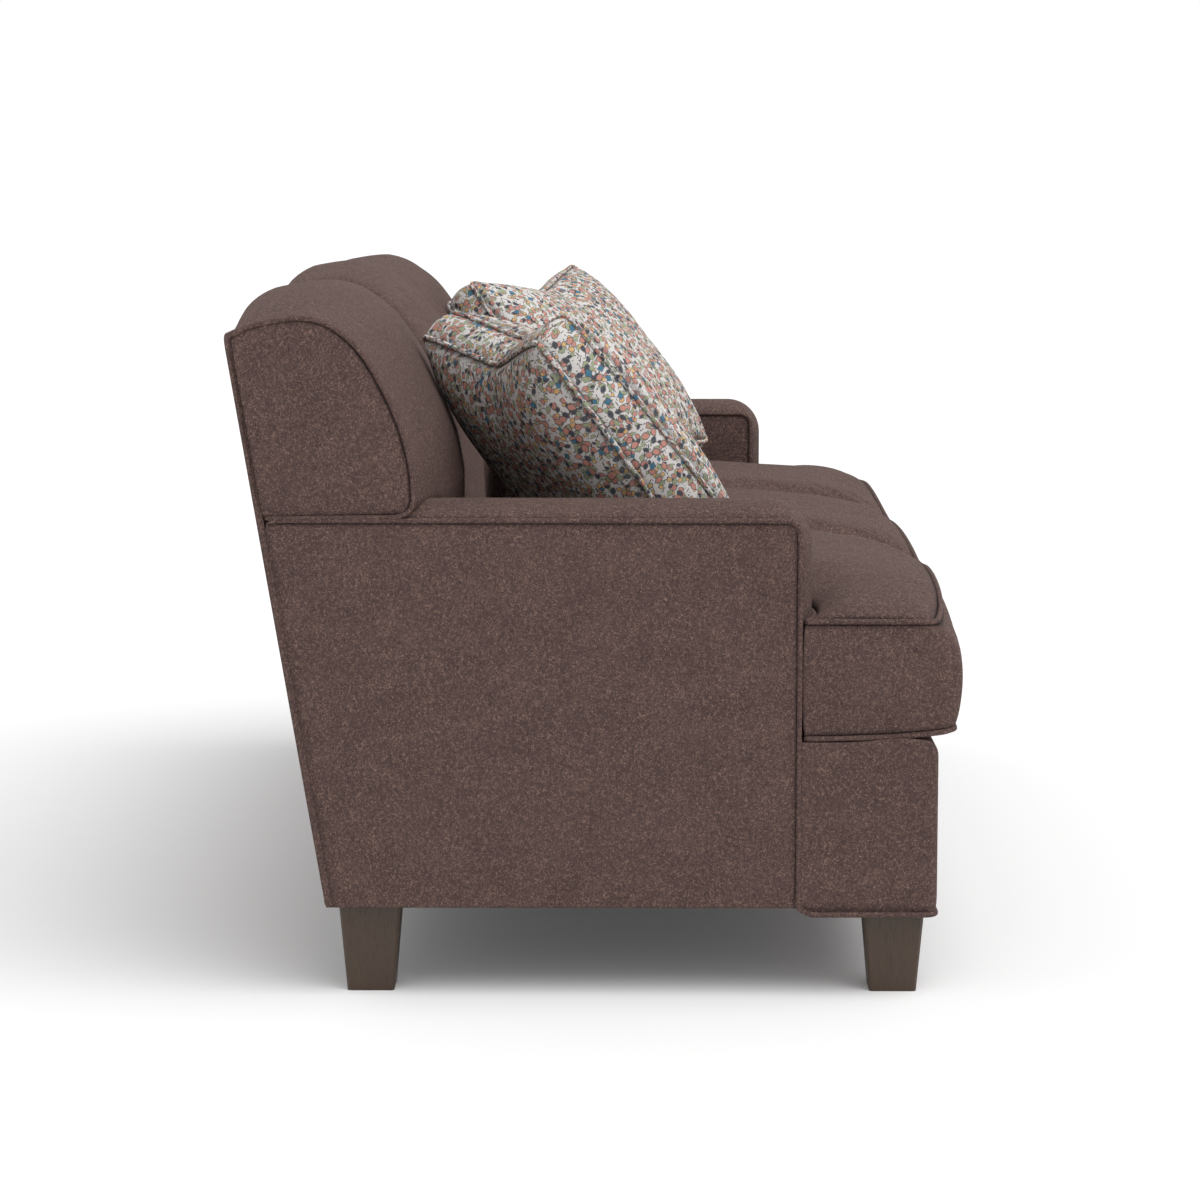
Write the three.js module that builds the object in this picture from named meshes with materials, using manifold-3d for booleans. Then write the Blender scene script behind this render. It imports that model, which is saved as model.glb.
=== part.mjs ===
// A three-seat sofa with set-back square arms, T-shaped outer seat cushions, an attached
// back in three sections and two boxed throw pillows.
// Millimetres, +Z up, X along the seat, and the seat faces -Y.
import * as THREE from 'three';
import { mergeVertices } from 'three/addons/utils/BufferGeometryUtils.js';
import Module from 'manifold-3d';

const wasm = await Module();
wasm.setup();

// Overall sizes.
const overallWidth = 2032;
const armWidth = 155;
const armHeight = 618;
const armDepthAtFloor = 589;
const rearFoot = 328;
const earLength = 200.5;
const borderReach = 178;
const backHeight = 874;
const rearCornerDrop = 22;
const backRake = THREE.MathUtils.degToRad(9.5);

// Gaps between neighbours.
const touch = 0.3;
const ease = 2;
const overrun = 5;

// Legs and what holds them.
const legHeight = 116;
const legTopSize = 80;
const legFootSize = 60.5;
const legChamfer = 3;
const legInset = 22;
const rearLegSetback = 54;
const boltRadius = 4;
const boltInLeg = 45;
const nutRadius = 7.5;
const nutHeight = 6.5;
const boltStickOut = 9;
const blockHeight = 60;
const blockLength = 84;

// Timber frame.
const railThickness = 28;
const frontRailHeight = 184;
const rearRailHeight = 184;
const sideRailHeight = 100;
const crossRailHeight = 70;
const postThickness = 28;
const postDepth = 60;
const armRailThickness = 25;
const topRailHeight = 28;
const topRailBelowCorner = 16;
const lowerRailHeight = 60;
const lowerRailRise = 40;

// Covers and padding.
const sideWall = 14;
const innerPanelWall = 22;
const armTopWall = 20;
const armFrontWall = 20;
const armTopCrown = 20;
const armFrontCrown = 17;
const armWeltRadius = 20;
const armCrownRadius = 57;
const armCrownGrowth = 90;
const borderTopWall = 26;
const borderHem = 13;
const borderCornerRadius = 9;
const backPanelThickness = 8;
const deckThickness = 12;
const dustCoverThickness = 1.2;
const dustCoverMargin = 16;

// Sinuous springs.
const springWire = 2;
const springSwing = 24;
const springWaves = 8;
const backSpringWaves = 4;
const springStepsPerWave = 6;
const springSides = 5;
const springLanding = 18;
const springsPerSeat = 3;
const backSpringsPerSection = 2;

// Seat cushions.
const cushionThickness = 156;
const cushionCrown = 58;
const cushionCrownReach = 190;
const cushionCornerRadius = 38;
const cushionFrontBulge = 11.5;
const cushionEarSetback = 21;
const cushionEarBulge = 20;
const cushionSeamBow = 14;
const cushionSideBulge = 2.5;
const cushionFrontRise = 8;
const cushionBottomLift = 16;
const cushionBottomReach = 70;
const cushionRearGap = 12.6;

// Back sections.
const backThickness = 200;
const outerSectionCrown = 42;
const middleSectionCrown = 46;
const sectionFootHeight = 332;

// Throw pillows.
const pillowWidth = 425;
const pillowHeight = 405;
const pillowBoxingTop = 60;
const pillowBoxingFoot = 72;
const pillowCrown = 46;
const pillowCrownReach = 190;
const pillowCornerRadius = 18;
const pillowTopDip = 42;
const pillowFootDip = 10;
const pillowSideBulge = 14;
const pillowTurn = THREE.MathUtils.degToRad(25.5);
const pillowLean = THREE.MathUtils.degToRad(38.3);
const pillowFromArm = 245.3;
const pillowFromBack = 220;
const pillowAboveSeat = 141.4;

// How finely the round and padded shapes are divided.
const roundSides = 16;
const nutSides = 6;
const armArcSteps = 6;
const borderArcSteps = 3;
const seamSamples = 22;
const sectionColumns = 12;
const cushionColumns = 9;
const bandColumns = 6;
const cushionRows = 7;
const earRows = 5;
const boxingLayers = 4;
const pillowLayers = 3;
const pillowCells = 10;

// How squarely each crown fills its outline: two is an even arch, more is flatter on top.
const cushionCrownPower = 2.4;
const armCrownPower = 2.4;
const sectionCrownPower = 2.3;

// How sharply the top of a pillow dips between its two ears: one is a plain V.
const pillowDipPower = 1.3;

// Places that follow from the sizes.
const halfWidth = overallWidth / 2;
const armInner = halfWidth - armWidth;
const rearCornerHeight = backHeight - rearCornerDrop;
const armFront = rearFoot - armDepthAtFloor;
const borderFront = armFront - borderReach;
const cushionFront = armFront - earLength;
const borderTop = legHeight + frontRailHeight + borderTopWall + 2 * springWire + ease;
const seatPitch = 2 * armInner / 3;
const seatTop = borderTop + touch + cushionThickness + cushionCrown;
const rearSkin = backPanelThickness + touch;
const cushionRear = rearAt(borderTop) - backThickness - cushionRearGap;

// Distance back of the raked rear plane at a height.
function rearAt(z) {
  return rearFoot + z * Math.tan(backRake);
}

// Materials.
const finishes = {
  upholstery: { color: 0x64504c, roughness: 0.85, metalness: 0 },
  print: { color: 0xc9bfb4, roughness: 0.8, metalness: 0 },
  leg: { color: 0x5a4a3b, roughness: 0.5, metalness: 0 },
  timber: { color: 0xc2a477, roughness: 0.75, metalness: 0 },
  platform: { color: 0x4a4341, roughness: 0.9, metalness: 0 },
  dust: { color: 0x2b2b2b, roughness: 0.95, metalness: 0 },
  steel: { color: 0x8d8f92, roughness: 0.4, metalness: 1 },
};

// Turns positions and triangles into a solid, with its faces pointing out.
function solidOf(positions, triangles) {
  const geometry = new THREE.BufferGeometry();
  geometry.setAttribute('position', new THREE.Float32BufferAttribute(positions, 3));
  geometry.setIndex(triangles);
  return solidFrom(geometry);
}

function signedVolume(points, index) {
  const a = new THREE.Vector3();
  const b = new THREE.Vector3();
  const c = new THREE.Vector3();
  let total = 0;
  for (let i = 0; i < index.length; i += 3) {
    a.fromArray(points, 3 * index[i]);
    b.fromArray(points, 3 * index[i + 1]);
    c.fromArray(points, 3 * index[i + 2]);
    total += a.dot(b.cross(c)) / 6;
  }
  return total;
}

function solidFrom(source) {
  const geometry = source.clone();
  geometry.deleteAttribute('normal');
  geometry.deleteAttribute('uv');
  const merged = mergeVertices(geometry);
  const points = new Float32Array(merged.attributes.position.array);
  const triangles = new Uint32Array(merged.index.array);
  if (signedVolume(points, triangles) < 0) {
    triangles.reverse();
  }
  const mesh = new wasm.Mesh({ numProp: 3, vertProperties: points, triVerts: triangles });
  return new wasm.Manifold(mesh);
}

// The geometry of a solid, drawn about its own middle, and that middle.
function centred(solid) {
  const mesh = solid.getMesh();
  const geometry = new THREE.BufferGeometry();
  geometry.setAttribute('position', new THREE.Float32BufferAttribute(mesh.vertProperties, 3));
  geometry.setIndex(new THREE.Uint32BufferAttribute(mesh.triVerts, 1));
  geometry.computeBoundingBox();
  const middle = geometry.boundingBox.getCenter(new THREE.Vector3());
  geometry.translate(-middle.x, -middle.y, -middle.z);
  geometry.computeVertexNormals();
  return { geometry, middle };
}

function addPiece(group, name, solid, finish) {
  const { geometry, middle } = centred(solid);
  const mesh = new THREE.Mesh(geometry, new THREE.MeshStandardMaterial(finishes[finish]));
  mesh.name = name;
  mesh.position.copy(middle);
  group.add(mesh);
  return mesh;
}

// A board between two corners.
function board(low, high) {
  const size = high.map((value, i) => value - low[i]);
  const geometry = new THREE.BoxGeometry(...size);
  geometry.translate(...high.map((value, i) => (value + low[i]) / 2));
  return solidFrom(geometry);
}

function shapeOf(points) {
  return new THREE.Shape(points.map(([a, b]) => new THREE.Vector2(a, b)));
}

// A side outline of [y, z] points, carried along X.
function sidePrism(points, x0, x1) {
  const geometry = new THREE.ExtrudeGeometry(shapeOf(points), { depth: x1 - x0, bevelEnabled: false });
  const across = new THREE.Vector3(0, 1, 0);
  const up = new THREE.Vector3(0, 0, 1);
  const along = new THREE.Vector3(1, 0, 0);
  geometry.applyMatrix4(new THREE.Matrix4().makeBasis(across, up, along));
  geometry.translate(x0, 0, 0);
  return solidFrom(geometry);
}

// A plan outline of [x, y] points, carried up Z.
function planPrism(points, z0, z1) {
  const geometry = new THREE.ExtrudeGeometry(shapeOf(points), { depth: z1 - z0, bevelEnabled: false });
  geometry.translate(0, 0, z0);
  return solidFrom(geometry);
}

// A slab that leans with the rear plane, between two depths measured forward from it.
function rakedSlab(nearDepth, farDepth, z0, z1, x0, x1) {
  return sidePrism([
    [rearAt(z0) - farDepth, z0],
    [rearAt(z0) - nearDepth, z0],
    [rearAt(z1) - nearDepth, z1],
    [rearAt(z1) - farDepth, z1],
  ], x0, x1);
}

// A loft through side outlines of [y, z] points at stations along X. Each end is closed by a
// fan from the mean of its outline.
function loftAlongX(stations, outlineAt) {
  const positions = [];
  const triangles = [];
  const rings = stations.map(outlineAt);
  const count = rings[0].length;
  rings.forEach((ring, i) => ring.forEach(([y, z]) => positions.push(stations[i], y, z)));
  for (let i = 0; i + 1 < rings.length; i += 1) {
    for (let j = 0; j < count; j += 1) {
      const a = i * count + j;
      const b = i * count + (j + 1) % count;
      triangles.push(a, b, b + count, a, b + count, a + count);
    }
  }
  const cap = (first, station, ring) => {
    const hub = positions.length / 3;
    const mean = (k) => ring.reduce((total, point) => total + point[k], 0) / count;
    positions.push(station, mean(0), mean(1));
    for (let j = 0; j < count; j += 1) {
      const [a, b] = [first + j, first + (j + 1) % count];
      triangles.push(hub, ...(first === 0 ? [b, a] : [a, b]));
    }
  };
  cap(0, stations[0], rings[0]);
  cap((rings.length - 1) * count, stations.at(-1), rings.at(-1));
  return solidOf(positions, triangles);
}

// Stations from a to b that crowd towards both ends.
function crowded(a, b, count) {
  const stations = [];
  for (let i = 0; i <= count; i += 1) {
    stations.push(a + (b - a) * (1 - Math.cos(Math.PI * i / count)) / 2);
  }
  return stations;
}

// Rises quickly from zero at a seam and levels off at a distance of one.
function crownRise(distance) {
  const t = Math.min(Math.max(distance, 0), 1);
  return 1 - (1 - t) ** cushionCrownPower;
}

// Legs: square blocks that taper evenly to the foot, with a blind hole for the bolt.
function legSolid() {
  const ring = (size) => {
    const h = size / 2;
    const c = h - legChamfer;
    return [[-c, -h], [c, -h], [h, -c], [h, c], [c, h], [-c, h], [-h, c], [-h, -c]];
  };
  const foot = ring(legFootSize);
  const top = ring(legTopSize);
  const positions = [];
  const triangles = [];
  foot.forEach(([x, y]) => positions.push(x, y, 0));
  top.forEach(([x, y]) => positions.push(x, y, legHeight));
  const count = foot.length;
  for (let j = 0; j < count; j += 1) {
    const k = (j + 1) % count;
    triangles.push(j, k, k + count, j, k + count, j + count);
  }
  for (let j = 1; j + 1 < count; j += 1) {
    triangles.push(0, j + 1, j, count, count + j, count + j + 1);
  }
  const hole = cylinder(boltRadius + touch, legHeight - boltInLeg - touch, legHeight + overrun);
  return solidOf(positions, triangles).subtract(hole);
}

function cylinder(radius, z0, z1, sides = roundSides) {
  const geometry = new THREE.CylinderGeometry(radius, radius, z1 - z0, sides);
  geometry.rotateX(Math.PI / 2);
  geometry.translate(0, 0, (z0 + z1) / 2);
  return solidFrom(geometry);
}

// A hanger bolt with its hexagon nut, in the leg's own frame.
function hangerBoltSolid() {
  const blockTop = legHeight + touch + blockHeight;
  const shank = cylinder(boltRadius, legHeight - boltInLeg, blockTop + touch + boltStickOut);
  const nut = cylinder(nutRadius, blockTop + touch, blockTop + touch + nutHeight, nutSides);
  return shank.add(nut);
}

function legPlaces() {
  const across = halfWidth - legInset - legTopSize / 2;
  const front = borderFront + sideWall + touch + legTopSize / 2;
  const rear = rearAt(legHeight) - rearLegSetback;
  return [
    ['front_right', -across, front],
    ['front_left', across, front],
    ['rear_right', -across, rear],
    ['rear_left', across, rear],
  ];
}

function addLegs(sofa) {
  const legs = new THREE.Group();
  const leg = legSolid();
  const bolt = hangerBoltSolid();
  legPlaces().forEach(([corner, x, y]) => {
    const station = new THREE.Group();
    station.position.set(x, y, 0);
    addPiece(station, `leg_${corner}`, leg, 'leg');
    addPiece(station, `hanger_bolt_${corner}`, bolt, 'steel');
    legs.add(station);
  });
  sofa.add(legs);
}

// Timber frame. The rails stand on the legs, and the blocks fill the rails' corners.
const railFoot = legHeight + touch;
const railOuter = halfWidth - sideWall - touch;
const frontRailFace = borderFront + sideWall + touch;
const frontRailBack = frontRailFace + railThickness;
const sideRailInner = railOuter - railThickness;
const sideRailTop = legHeight + sideRailHeight;
const innerPostInner = armInner + innerPanelWall + touch;
const innerPostOuter = innerPostInner + postThickness;
const postTop = rearCornerHeight - topRailBelowCorner - topRailHeight - touch;
const rearRailDepth = rearSkin + railThickness;
const postReach = rearSkin + postDepth;

function mirrorPair(build) {
  return [['right', -1], ['left', 1]].map(([side, sign]) => [side, build(sign)]);
}

// A span along X given by distances from the middle, on the chosen side.
function span(sign, inner, outer) {
  return sign < 0 ? [-outer, -inner] : [inner, outer];
}

function frontRailSolid() {
  return board(
    [-railOuter, frontRailFace, railFoot],
    [railOuter, frontRailBack, legHeight + frontRailHeight],
  );
}

function rearRailSolid(grow = 0) {
  const end = sideRailInner - touch + grow;
  return rakedSlab(
    rearSkin - grow, rearRailDepth + grow, railFoot - grow, legHeight + rearRailHeight + grow, -end, end,
  );
}

function outerPostSolid(sign, grow = 0) {
  const [x0, x1] = span(sign, sideRailInner - grow, railOuter + grow);
  return rakedSlab(rearSkin - grow, postReach + grow, railFoot - grow, postTop, x0, x1);
}

function innerPostSolid(sign, grow = 0) {
  const [x0, x1] = span(sign, innerPostInner - grow, innerPostOuter + grow);
  return rakedSlab(rearSkin - grow, postReach + grow, railFoot - grow, postTop, x0, x1);
}

function sideRailSolid(sign) {
  const [x0, x1] = span(sign, sideRailInner, railOuter);
  const far = rearAt(sideRailTop);
  return board([x0, frontRailBack + touch, railFoot], [x1, far, sideRailTop])
    .subtract(outerPostSolid(sign, touch))
    .subtract(rakedSlab(-far, rearSkin, 0, armHeight, x0 - overrun, x1 + overrun));
}

function crossRailSolid(sign) {
  const middle = sign * seatPitch / 2;
  const x0 = middle - railThickness / 2;
  const x1 = middle + railThickness / 2;
  const far = rearAt(legHeight + crossRailHeight);
  return board([x0, frontRailBack + touch, railFoot], [x1, far, legHeight + crossRailHeight])
    .subtract(rakedSlab(-far, rearRailDepth + touch, 0, armHeight, x0 - overrun, x1 + overrun));
}

function cornerBlockSolid(sign, atRear) {
  const outer = sideRailInner - touch;
  const [x0, x1] = span(sign, innerPostOuter + touch, outer);
  const z1 = railFoot + blockHeight;
  const [, legX, legY] = legPlaces()[(atRear ? 2 : 0) + (sign < 0 ? 0 : 1)];
  const y0 = atRear ? rearAt(z1) - rearRailDepth - blockLength : frontRailBack + touch;
  const y1 = atRear ? rearAt(z1) : y0 + blockLength;
  const hole = cylinder(boltRadius + touch, 0, z1 + overrun).translate([legX, legY, 0]);
  const block = board([x0, y0, railFoot], [x1, y1, z1]).subtract(hole);
  return atRear ? block.subtract(rearBehind(rearRailDepth + touch, x0, x1)) : block;
}

// Everything behind a depth from the rear plane, over a span of X.
function rearBehind(depth, x0, x1) {
  return rakedSlab(-backThickness, depth, 0, backHeight + backThickness, x0 - overrun, x1 + overrun);
}

const armRailTop = armHeight - armTopWall - touch;
const armRailUnder = armRailTop - armRailThickness;
const armPostFront = armFront + armFrontWall + touch;

function armFrontPostSolid(sign) {
  const [x0, x1] = span(sign, innerPostInner, railOuter);
  const [r0, r1] = span(sign, sideRailInner - touch, railOuter + overrun);
  const notch = board(
    [r0, armPostFront - overrun, 0],
    [r1, armPostFront + postThickness + overrun, sideRailTop + touch],
  );
  return board(
    [x0, armPostFront, railFoot],
    [x1, armPostFront + postThickness, armRailUnder - touch],
  ).subtract(notch);
}

function armTopRailSolid(sign) {
  const [x0, x1] = span(sign, innerPostInner, railOuter);
  return board([x0, armPostFront, armRailUnder], [x1, rearAt(armRailTop), armRailTop])
    .subtract(rearBehind(postReach + touch, x0, x1));
}

function backTopRailSolid() {
  return rakedSlab(
    rearSkin, postReach, postTop + touch, postTop + touch + topRailHeight, -railOuter, railOuter,
  );
}

const lowerRailFoot = sectionFootHeight + lowerRailRise;

function backLowerRailSolid() {
  const end = innerPostInner - touch;
  return rakedSlab(
    rearSkin, rearRailDepth, lowerRailFoot, lowerRailFoot + lowerRailHeight, -end, end,
  );
}

function addFrame(sofa) {
  const frame = new THREE.Group();
  addPiece(frame, 'front_rail', frontRailSolid(), 'timber');
  addPiece(frame, 'rear_rail', rearRailSolid(), 'timber');
  addPiece(frame, 'back_top_rail', backTopRailSolid(), 'timber');
  addPiece(frame, 'back_lower_rail', backLowerRailSolid(), 'timber');
  const pairs = {
    side_rail: sideRailSolid,
    cross_rail: crossRailSolid,
    arm_front_post: armFrontPostSolid,
    arm_top_rail: armTopRailSolid,
    back_outer_post: outerPostSolid,
    back_inner_post: (sign) => innerPostSolid(sign).subtract(rearRailSolid(touch)),
    corner_block_front: (sign) => cornerBlockSolid(sign, false),
    corner_block_rear: (sign) => cornerBlockSolid(sign, true),
  };
  Object.entries(pairs).forEach(([name, build]) => {
    mirrorPair(build).forEach(([side, solid]) => addPiece(frame, `${name}_${side}`, solid, 'timber'));
  });
  sofa.add(frame);
}

// A sinuous spring: one wire that swings from side to side along a shallow arc.
function sinuousSpring(start, end, swing, rise, waves) {
  const along = new THREE.Vector3().subVectors(end, start);
  const length = along.length();
  along.normalize();
  const side = new THREE.Vector3(1, 0, 0);
  const out = new THREE.Vector3().crossVectors(side, along).normalize();
  const steps = waves * springStepsPerWave;
  const landing = springLanding / length;
  const points = [start.clone()];
  for (let i = 0; i <= steps; i += 1) {
    const s = i / steps;
    const t = landing + (1 - 2 * landing) * s;
    const point = start.clone().addScaledVector(along, t * length);
    point.addScaledVector(side, swing * Math.sin(2 * Math.PI * waves * s));
    point.addScaledVector(out, rise * 4 * t * (1 - t));
    points.push(point);
  }
  points.push(end.clone());
  const section = [];
  for (let i = 0; i < springSides; i += 1) {
    const angle = 2 * Math.PI * i / springSides;
    section.push([springWire * Math.cos(angle), springWire * Math.sin(angle)]);
  }
  const geometry = new THREE.ExtrudeGeometry(shapeOf(section), {
    steps: points.length - 1,
    bevelEnabled: false,
    extrudePath: new PolylineThrough(points),
  });
  return solidFrom(geometry);
}

// A curve that steps evenly from each point of a list to the next.
class PolylineThrough extends THREE.Curve {
  constructor(points) {
    super();
    this.points = points;
  }

  getPoint(t, target = new THREE.Vector3()) {
    const last = this.points.length - 1;
    const place = Math.min(Math.max(t, 0), 1) * last;
    const i = Math.min(Math.floor(place), last - 1);
    return target.lerpVectors(this.points[i], this.points[i + 1], place - i);
  }

  getPointAt(u, target) {
    return this.getPoint(u, target);
  }

  getTangentAt(u, target = new THREE.Vector3()) {
    const step = 0.5 / (this.points.length - 1);
    const before = this.getPoint(u - step);
    const after = this.getPoint(u + step);
    return target.subVectors(after, before).normalize();
  }
}

function addSprings(sofa) {
  const springs = new THREE.Group();
  const railTop = legHeight + Math.max(frontRailHeight, rearRailHeight) + touch + springWire;
  const crest = borderTop - deckThickness - touch - springWire;
  const frontEnd = frontRailBack - railThickness / 2 + springWire;
  const rearEnd = rearAt(railTop) - rearRailDepth + railThickness / 2;
  const seatNames = ['right', 'middle', 'left'];
  seatNames.forEach((seat, s) => {
    for (let i = 0; i < springsPerSeat; i += 1) {
      const x = (s - 1) * seatPitch + (i - (springsPerSeat - 1) / 2) * seatPitch / springsPerSeat;
      const start = new THREE.Vector3(x, rearEnd, railTop);
      const end = new THREE.Vector3(x, frontEnd, railTop);
      const spring = sinuousSpring(start, end, springSwing, railTop - crest, springWaves);
      addPiece(springs, `seat_spring_${seat}_${i + 1}`, spring, 'steel');
    }
    for (let i = 0; i < backSpringsPerSection; i += 1) {
      const offset = (i - (backSpringsPerSection - 1) / 2) * seatPitch / backSpringsPerSection;
      const x = (s - 1) * seatPitch + offset;
      const depth = rearRailDepth + touch + springWire;
      const foot = lowerRailFoot + lowerRailHeight / 2;
      const head = postTop - touch - springWire;
      const start = new THREE.Vector3(x, rearAt(foot) - depth, foot);
      const end = new THREE.Vector3(x, rearAt(head) - depth, head);
      const spring = sinuousSpring(start, end, springSwing, 0, backSpringWaves);
      addPiece(springs, `back_spring_${seat}_${i + 1}`, spring, 'steel');
    }
  });
  sofa.add(springs);
}

// Arm cover: a flat outer and inner panel with a band between them that crowns over the top
// and the front. Each outline point moves from the welt's line to the crown's line.
function armOutline(share, grow) {
  const foot = legHeight + touch - grow;
  const weltFront = armFront - grow;
  const weltTop = armHeight + grow;
  const points = [];
  const add = (weltY, weltZ, crownY, crownZ) => {
    points.push([weltY + (crownY - weltY) * share, weltZ + (crownZ - weltZ) * share]);
  };
  const back = rearSkin - grow;
  const crownFront = weltFront - armFrontCrown;
  const crownTop = weltTop + armTopCrown;
  add(rearAt(foot) - back, foot, rearAt(foot) - back, foot);
  add(weltFront, foot, weltFront, foot);
  add(weltFront, borderTop, weltFront, borderTop);
  add(weltFront, borderTop + armCrownGrowth, crownFront, borderTop + armCrownGrowth);
  for (let i = 0; i <= armArcSteps; i += 1) {
    const angle = Math.PI / 2 * i / armArcSteps;
    const ahead = 1 - Math.cos(angle);
    const below = 1 - Math.sin(angle);
    add(
      weltFront + armWeltRadius * ahead, weltTop - armWeltRadius * below,
      crownFront + armCrownRadius * ahead, crownTop - armCrownRadius * below,
    );
  }
  const half = (armFront + rearAt(armHeight)) / 2;
  add(half, weltTop, half, crownTop);
  add(rearAt(weltTop) - back, weltTop, rearAt(crownTop) - back, crownTop);
  return points;
}

function armForm(sign, grow = 0) {
  const middle = halfWidth - armWidth / 2;
  const reach = armWidth / 2 + grow;
  const stations = crowded(-1, 1, bandColumns);
  const share = (station) => 1 - Math.abs(station) ** armCrownPower;
  const xs = stations.map((station) => sign * middle + reach * station);
  return loftAlongX(xs, (x) => armOutline(share((x - sign * middle) / reach), grow));
}

function armCoverSolid(sign) {
  const [x0, x1] = span(sign, armInner + innerPanelWall, halfWidth - sideWall);
  const far = rearAt(armHeight);
  const hollow = board([x0, armFront + armFrontWall, 0], [x1, far, armHeight - armTopWall]);
  const [p0, p1] = span(sign, armInner - overrun, railOuter + touch);
  const posts = rakedSlab(-overrun, postReach + touch, 0, armHeight + armTopCrown + overrun, p0, p1);
  const railWay = board([x0, armFront - overrun, 0], [x1, armPostFront, sideRailTop + touch]);
  return armForm(sign).subtract(hollow).subtract(posts).subtract(railWay);
}

// Front border: the padded box under the cushions' front, open below and behind. Its front
// wall, its top and its two returns are cut from one rounded form.
const borderLow = legHeight - borderHem;
const borderBack = armFront - touch;
const borderWallBack = borderFront + sideWall;

function borderForm() {
  const r = borderCornerRadius;
  const corner = [];
  for (let i = 0; i <= borderArcSteps; i += 1) {
    const angle = Math.PI / 2 * i / borderArcSteps;
    corner.push([r * (1 - Math.cos(angle)), r * (1 - Math.sin(angle))]);
  }
  const side = [[borderBack, borderLow],
    ...corner.map(([a, b]) => [borderFront + a, borderLow + b]).reverse(),
    ...corner.map(([a, b]) => [borderFront + a, borderTop - b]), [borderBack, borderTop]];
  const plan = [[halfWidth, borderBack], ...corner.map(([a, b]) => [halfWidth - a, borderFront + b]),
    ...corner.map(([a, b]) => [-halfWidth + a, borderFront + b]).reverse(), [-halfWidth, borderBack]];
  return sidePrism(side, -halfWidth - overrun, halfWidth + overrun)
    .intersect(planPrism(plan, borderLow - overrun, borderTop + overrun));
}

function borderWallSolid() {
  const end = halfWidth + overrun;
  return borderForm().intersect(board(
    [-end, borderFront - overrun, borderLow - overrun],
    [end, borderWallBack, borderTop + overrun],
  ));
}

function borderReturnSolid(sign) {
  const [x0, x1] = span(sign, halfWidth - sideWall, halfWidth + overrun);
  return borderForm().intersect(board(
    [x0, borderWallBack + touch, borderLow - overrun],
    [x1, borderBack + overrun, borderTop + overrun],
  ));
}

function borderTopSolid() {
  const end = halfWidth - sideWall - touch;
  const overSprings = board(
    [-armInner, frontRailBack, borderLow],
    [armInner, borderBack + overrun, borderTop - deckThickness],
  );
  return board(
    [-end, borderWallBack + touch, borderTop - borderTopWall],
    [end, borderBack, borderTop],
  ).subtract(overSprings);
}

function backPanelSolid() {
  return rakedSlab(0, backPanelThickness, railFoot, rearCornerHeight, -halfWidth, halfWidth);
}

function deckSolid() {
  const end = armInner - touch;
  const top = borderTop;
  return board(
    [-end, armFront, top - deckThickness],
    [end, rearAt(top - deckThickness) - postReach - touch, top],
  );
}

function dustCoverSolid() {
  const top = legHeight - touch;
  const end = halfWidth - dustCoverMargin;
  const rear = rearAt(legHeight) - dustCoverMargin;
  const sheet = board(
    [-end, borderFront + dustCoverMargin, top - dustCoverThickness],
    [end, rear, top],
  );
  const half = legTopSize / 2 + ease;
  return legPlaces().reduce((cover, [, x, y]) => cover.subtract(board(
    [x - half, y - half, 0],
    [x + half, y + half, legHeight],
  )), sheet);
}

function addCovers(sofa) {
  const covers = new THREE.Group();
  mirrorPair(armCoverSolid).forEach(([side, solid]) => {
    addPiece(covers, `arm_cover_${side}`, solid, 'upholstery');
  });
  addPiece(covers, 'border_front', borderWallSolid(), 'upholstery');
  addPiece(covers, 'border_top', borderTopSolid(), 'upholstery');
  mirrorPair(borderReturnSolid).forEach(([side, solid]) => {
    addPiece(covers, `border_return_${side}`, solid, 'upholstery');
  });
  addPiece(covers, 'outside_back_panel', backPanelSolid(), 'upholstery');
  addPiece(covers, 'seat_deck', deckSolid(), 'platform');
  addPiece(covers, 'dust_cover', dustCoverSolid(), 'dust');
  sofa.add(covers);
}

// Side outline of the back at its seams: share of the back's thickness forward of the rear
// plane, share of the height between the section's foot and the back's top, and share of
// the crown, from the rear top corner over the top and down the front.
const backOutlineShares = [
  [0, 0.959, 0],
  [0.035, 0.966, 0.5],
  [0.167, 0.983, 0.8],
  [0.478, 1, 0.95],
  [0.68, 0.981, 1],
  [0.86, 0.913, 1.03],
  [1, 0.78, 1],
  [1.045, 0.66, 1],
  [1.02, 0.56, 1.1],
  [0.98, 0.44, 0.9],
  [0.93, 0.2, 0.3],
  [0.92, 0, 0.2],
];
const valleyShare = 0.14;

function seamLine(samples) {
  const height = backHeight - sectionFootHeight;
  const path = new THREE.SplineCurve(backOutlineShares.map(([depth, rise]) => {
    const z = sectionFootHeight + rise * height;
    return new THREE.Vector2(rearAt(z) - rearSkin - depth * (backThickness - rearSkin), z);
  }));
  const points = [];
  for (let i = 0; i <= samples; i += 1) {
    const t = i / samples;
    const place = t * (backOutlineShares.length - 1);
    const k = Math.min(Math.floor(place), backOutlineShares.length - 2);
    const crown = THREE.MathUtils.lerp(backOutlineShares[k][2], backOutlineShares[k + 1][2], place - k);
    const tangent = path.getTangent(t);
    points.push({ point: path.getPoint(t), out: new THREE.Vector2(tangent.y, -tangent.x), crown });
  }
  return points;
}

// A section's outline, pushed out from the seam line by the crown.
function sectionOutline(line, crown) {
  const foot = sectionFootHeight + touch;
  const points = line.map(({ point, out, crown: share }) => {
    return [point.x + out.x * crown * share, point.y + out.y * crown * share];
  });
  points[points.length - 1][1] = foot;
  points.push([rearAt(foot) - rearSkin, foot]);
  return points;
}

function frameSpace() {
  return rakedSlab(
    -backThickness, postReach + touch, 0, postTop + topRailHeight + 2 * touch, -railOuter - touch,
    railOuter + touch,
  );
}

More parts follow.
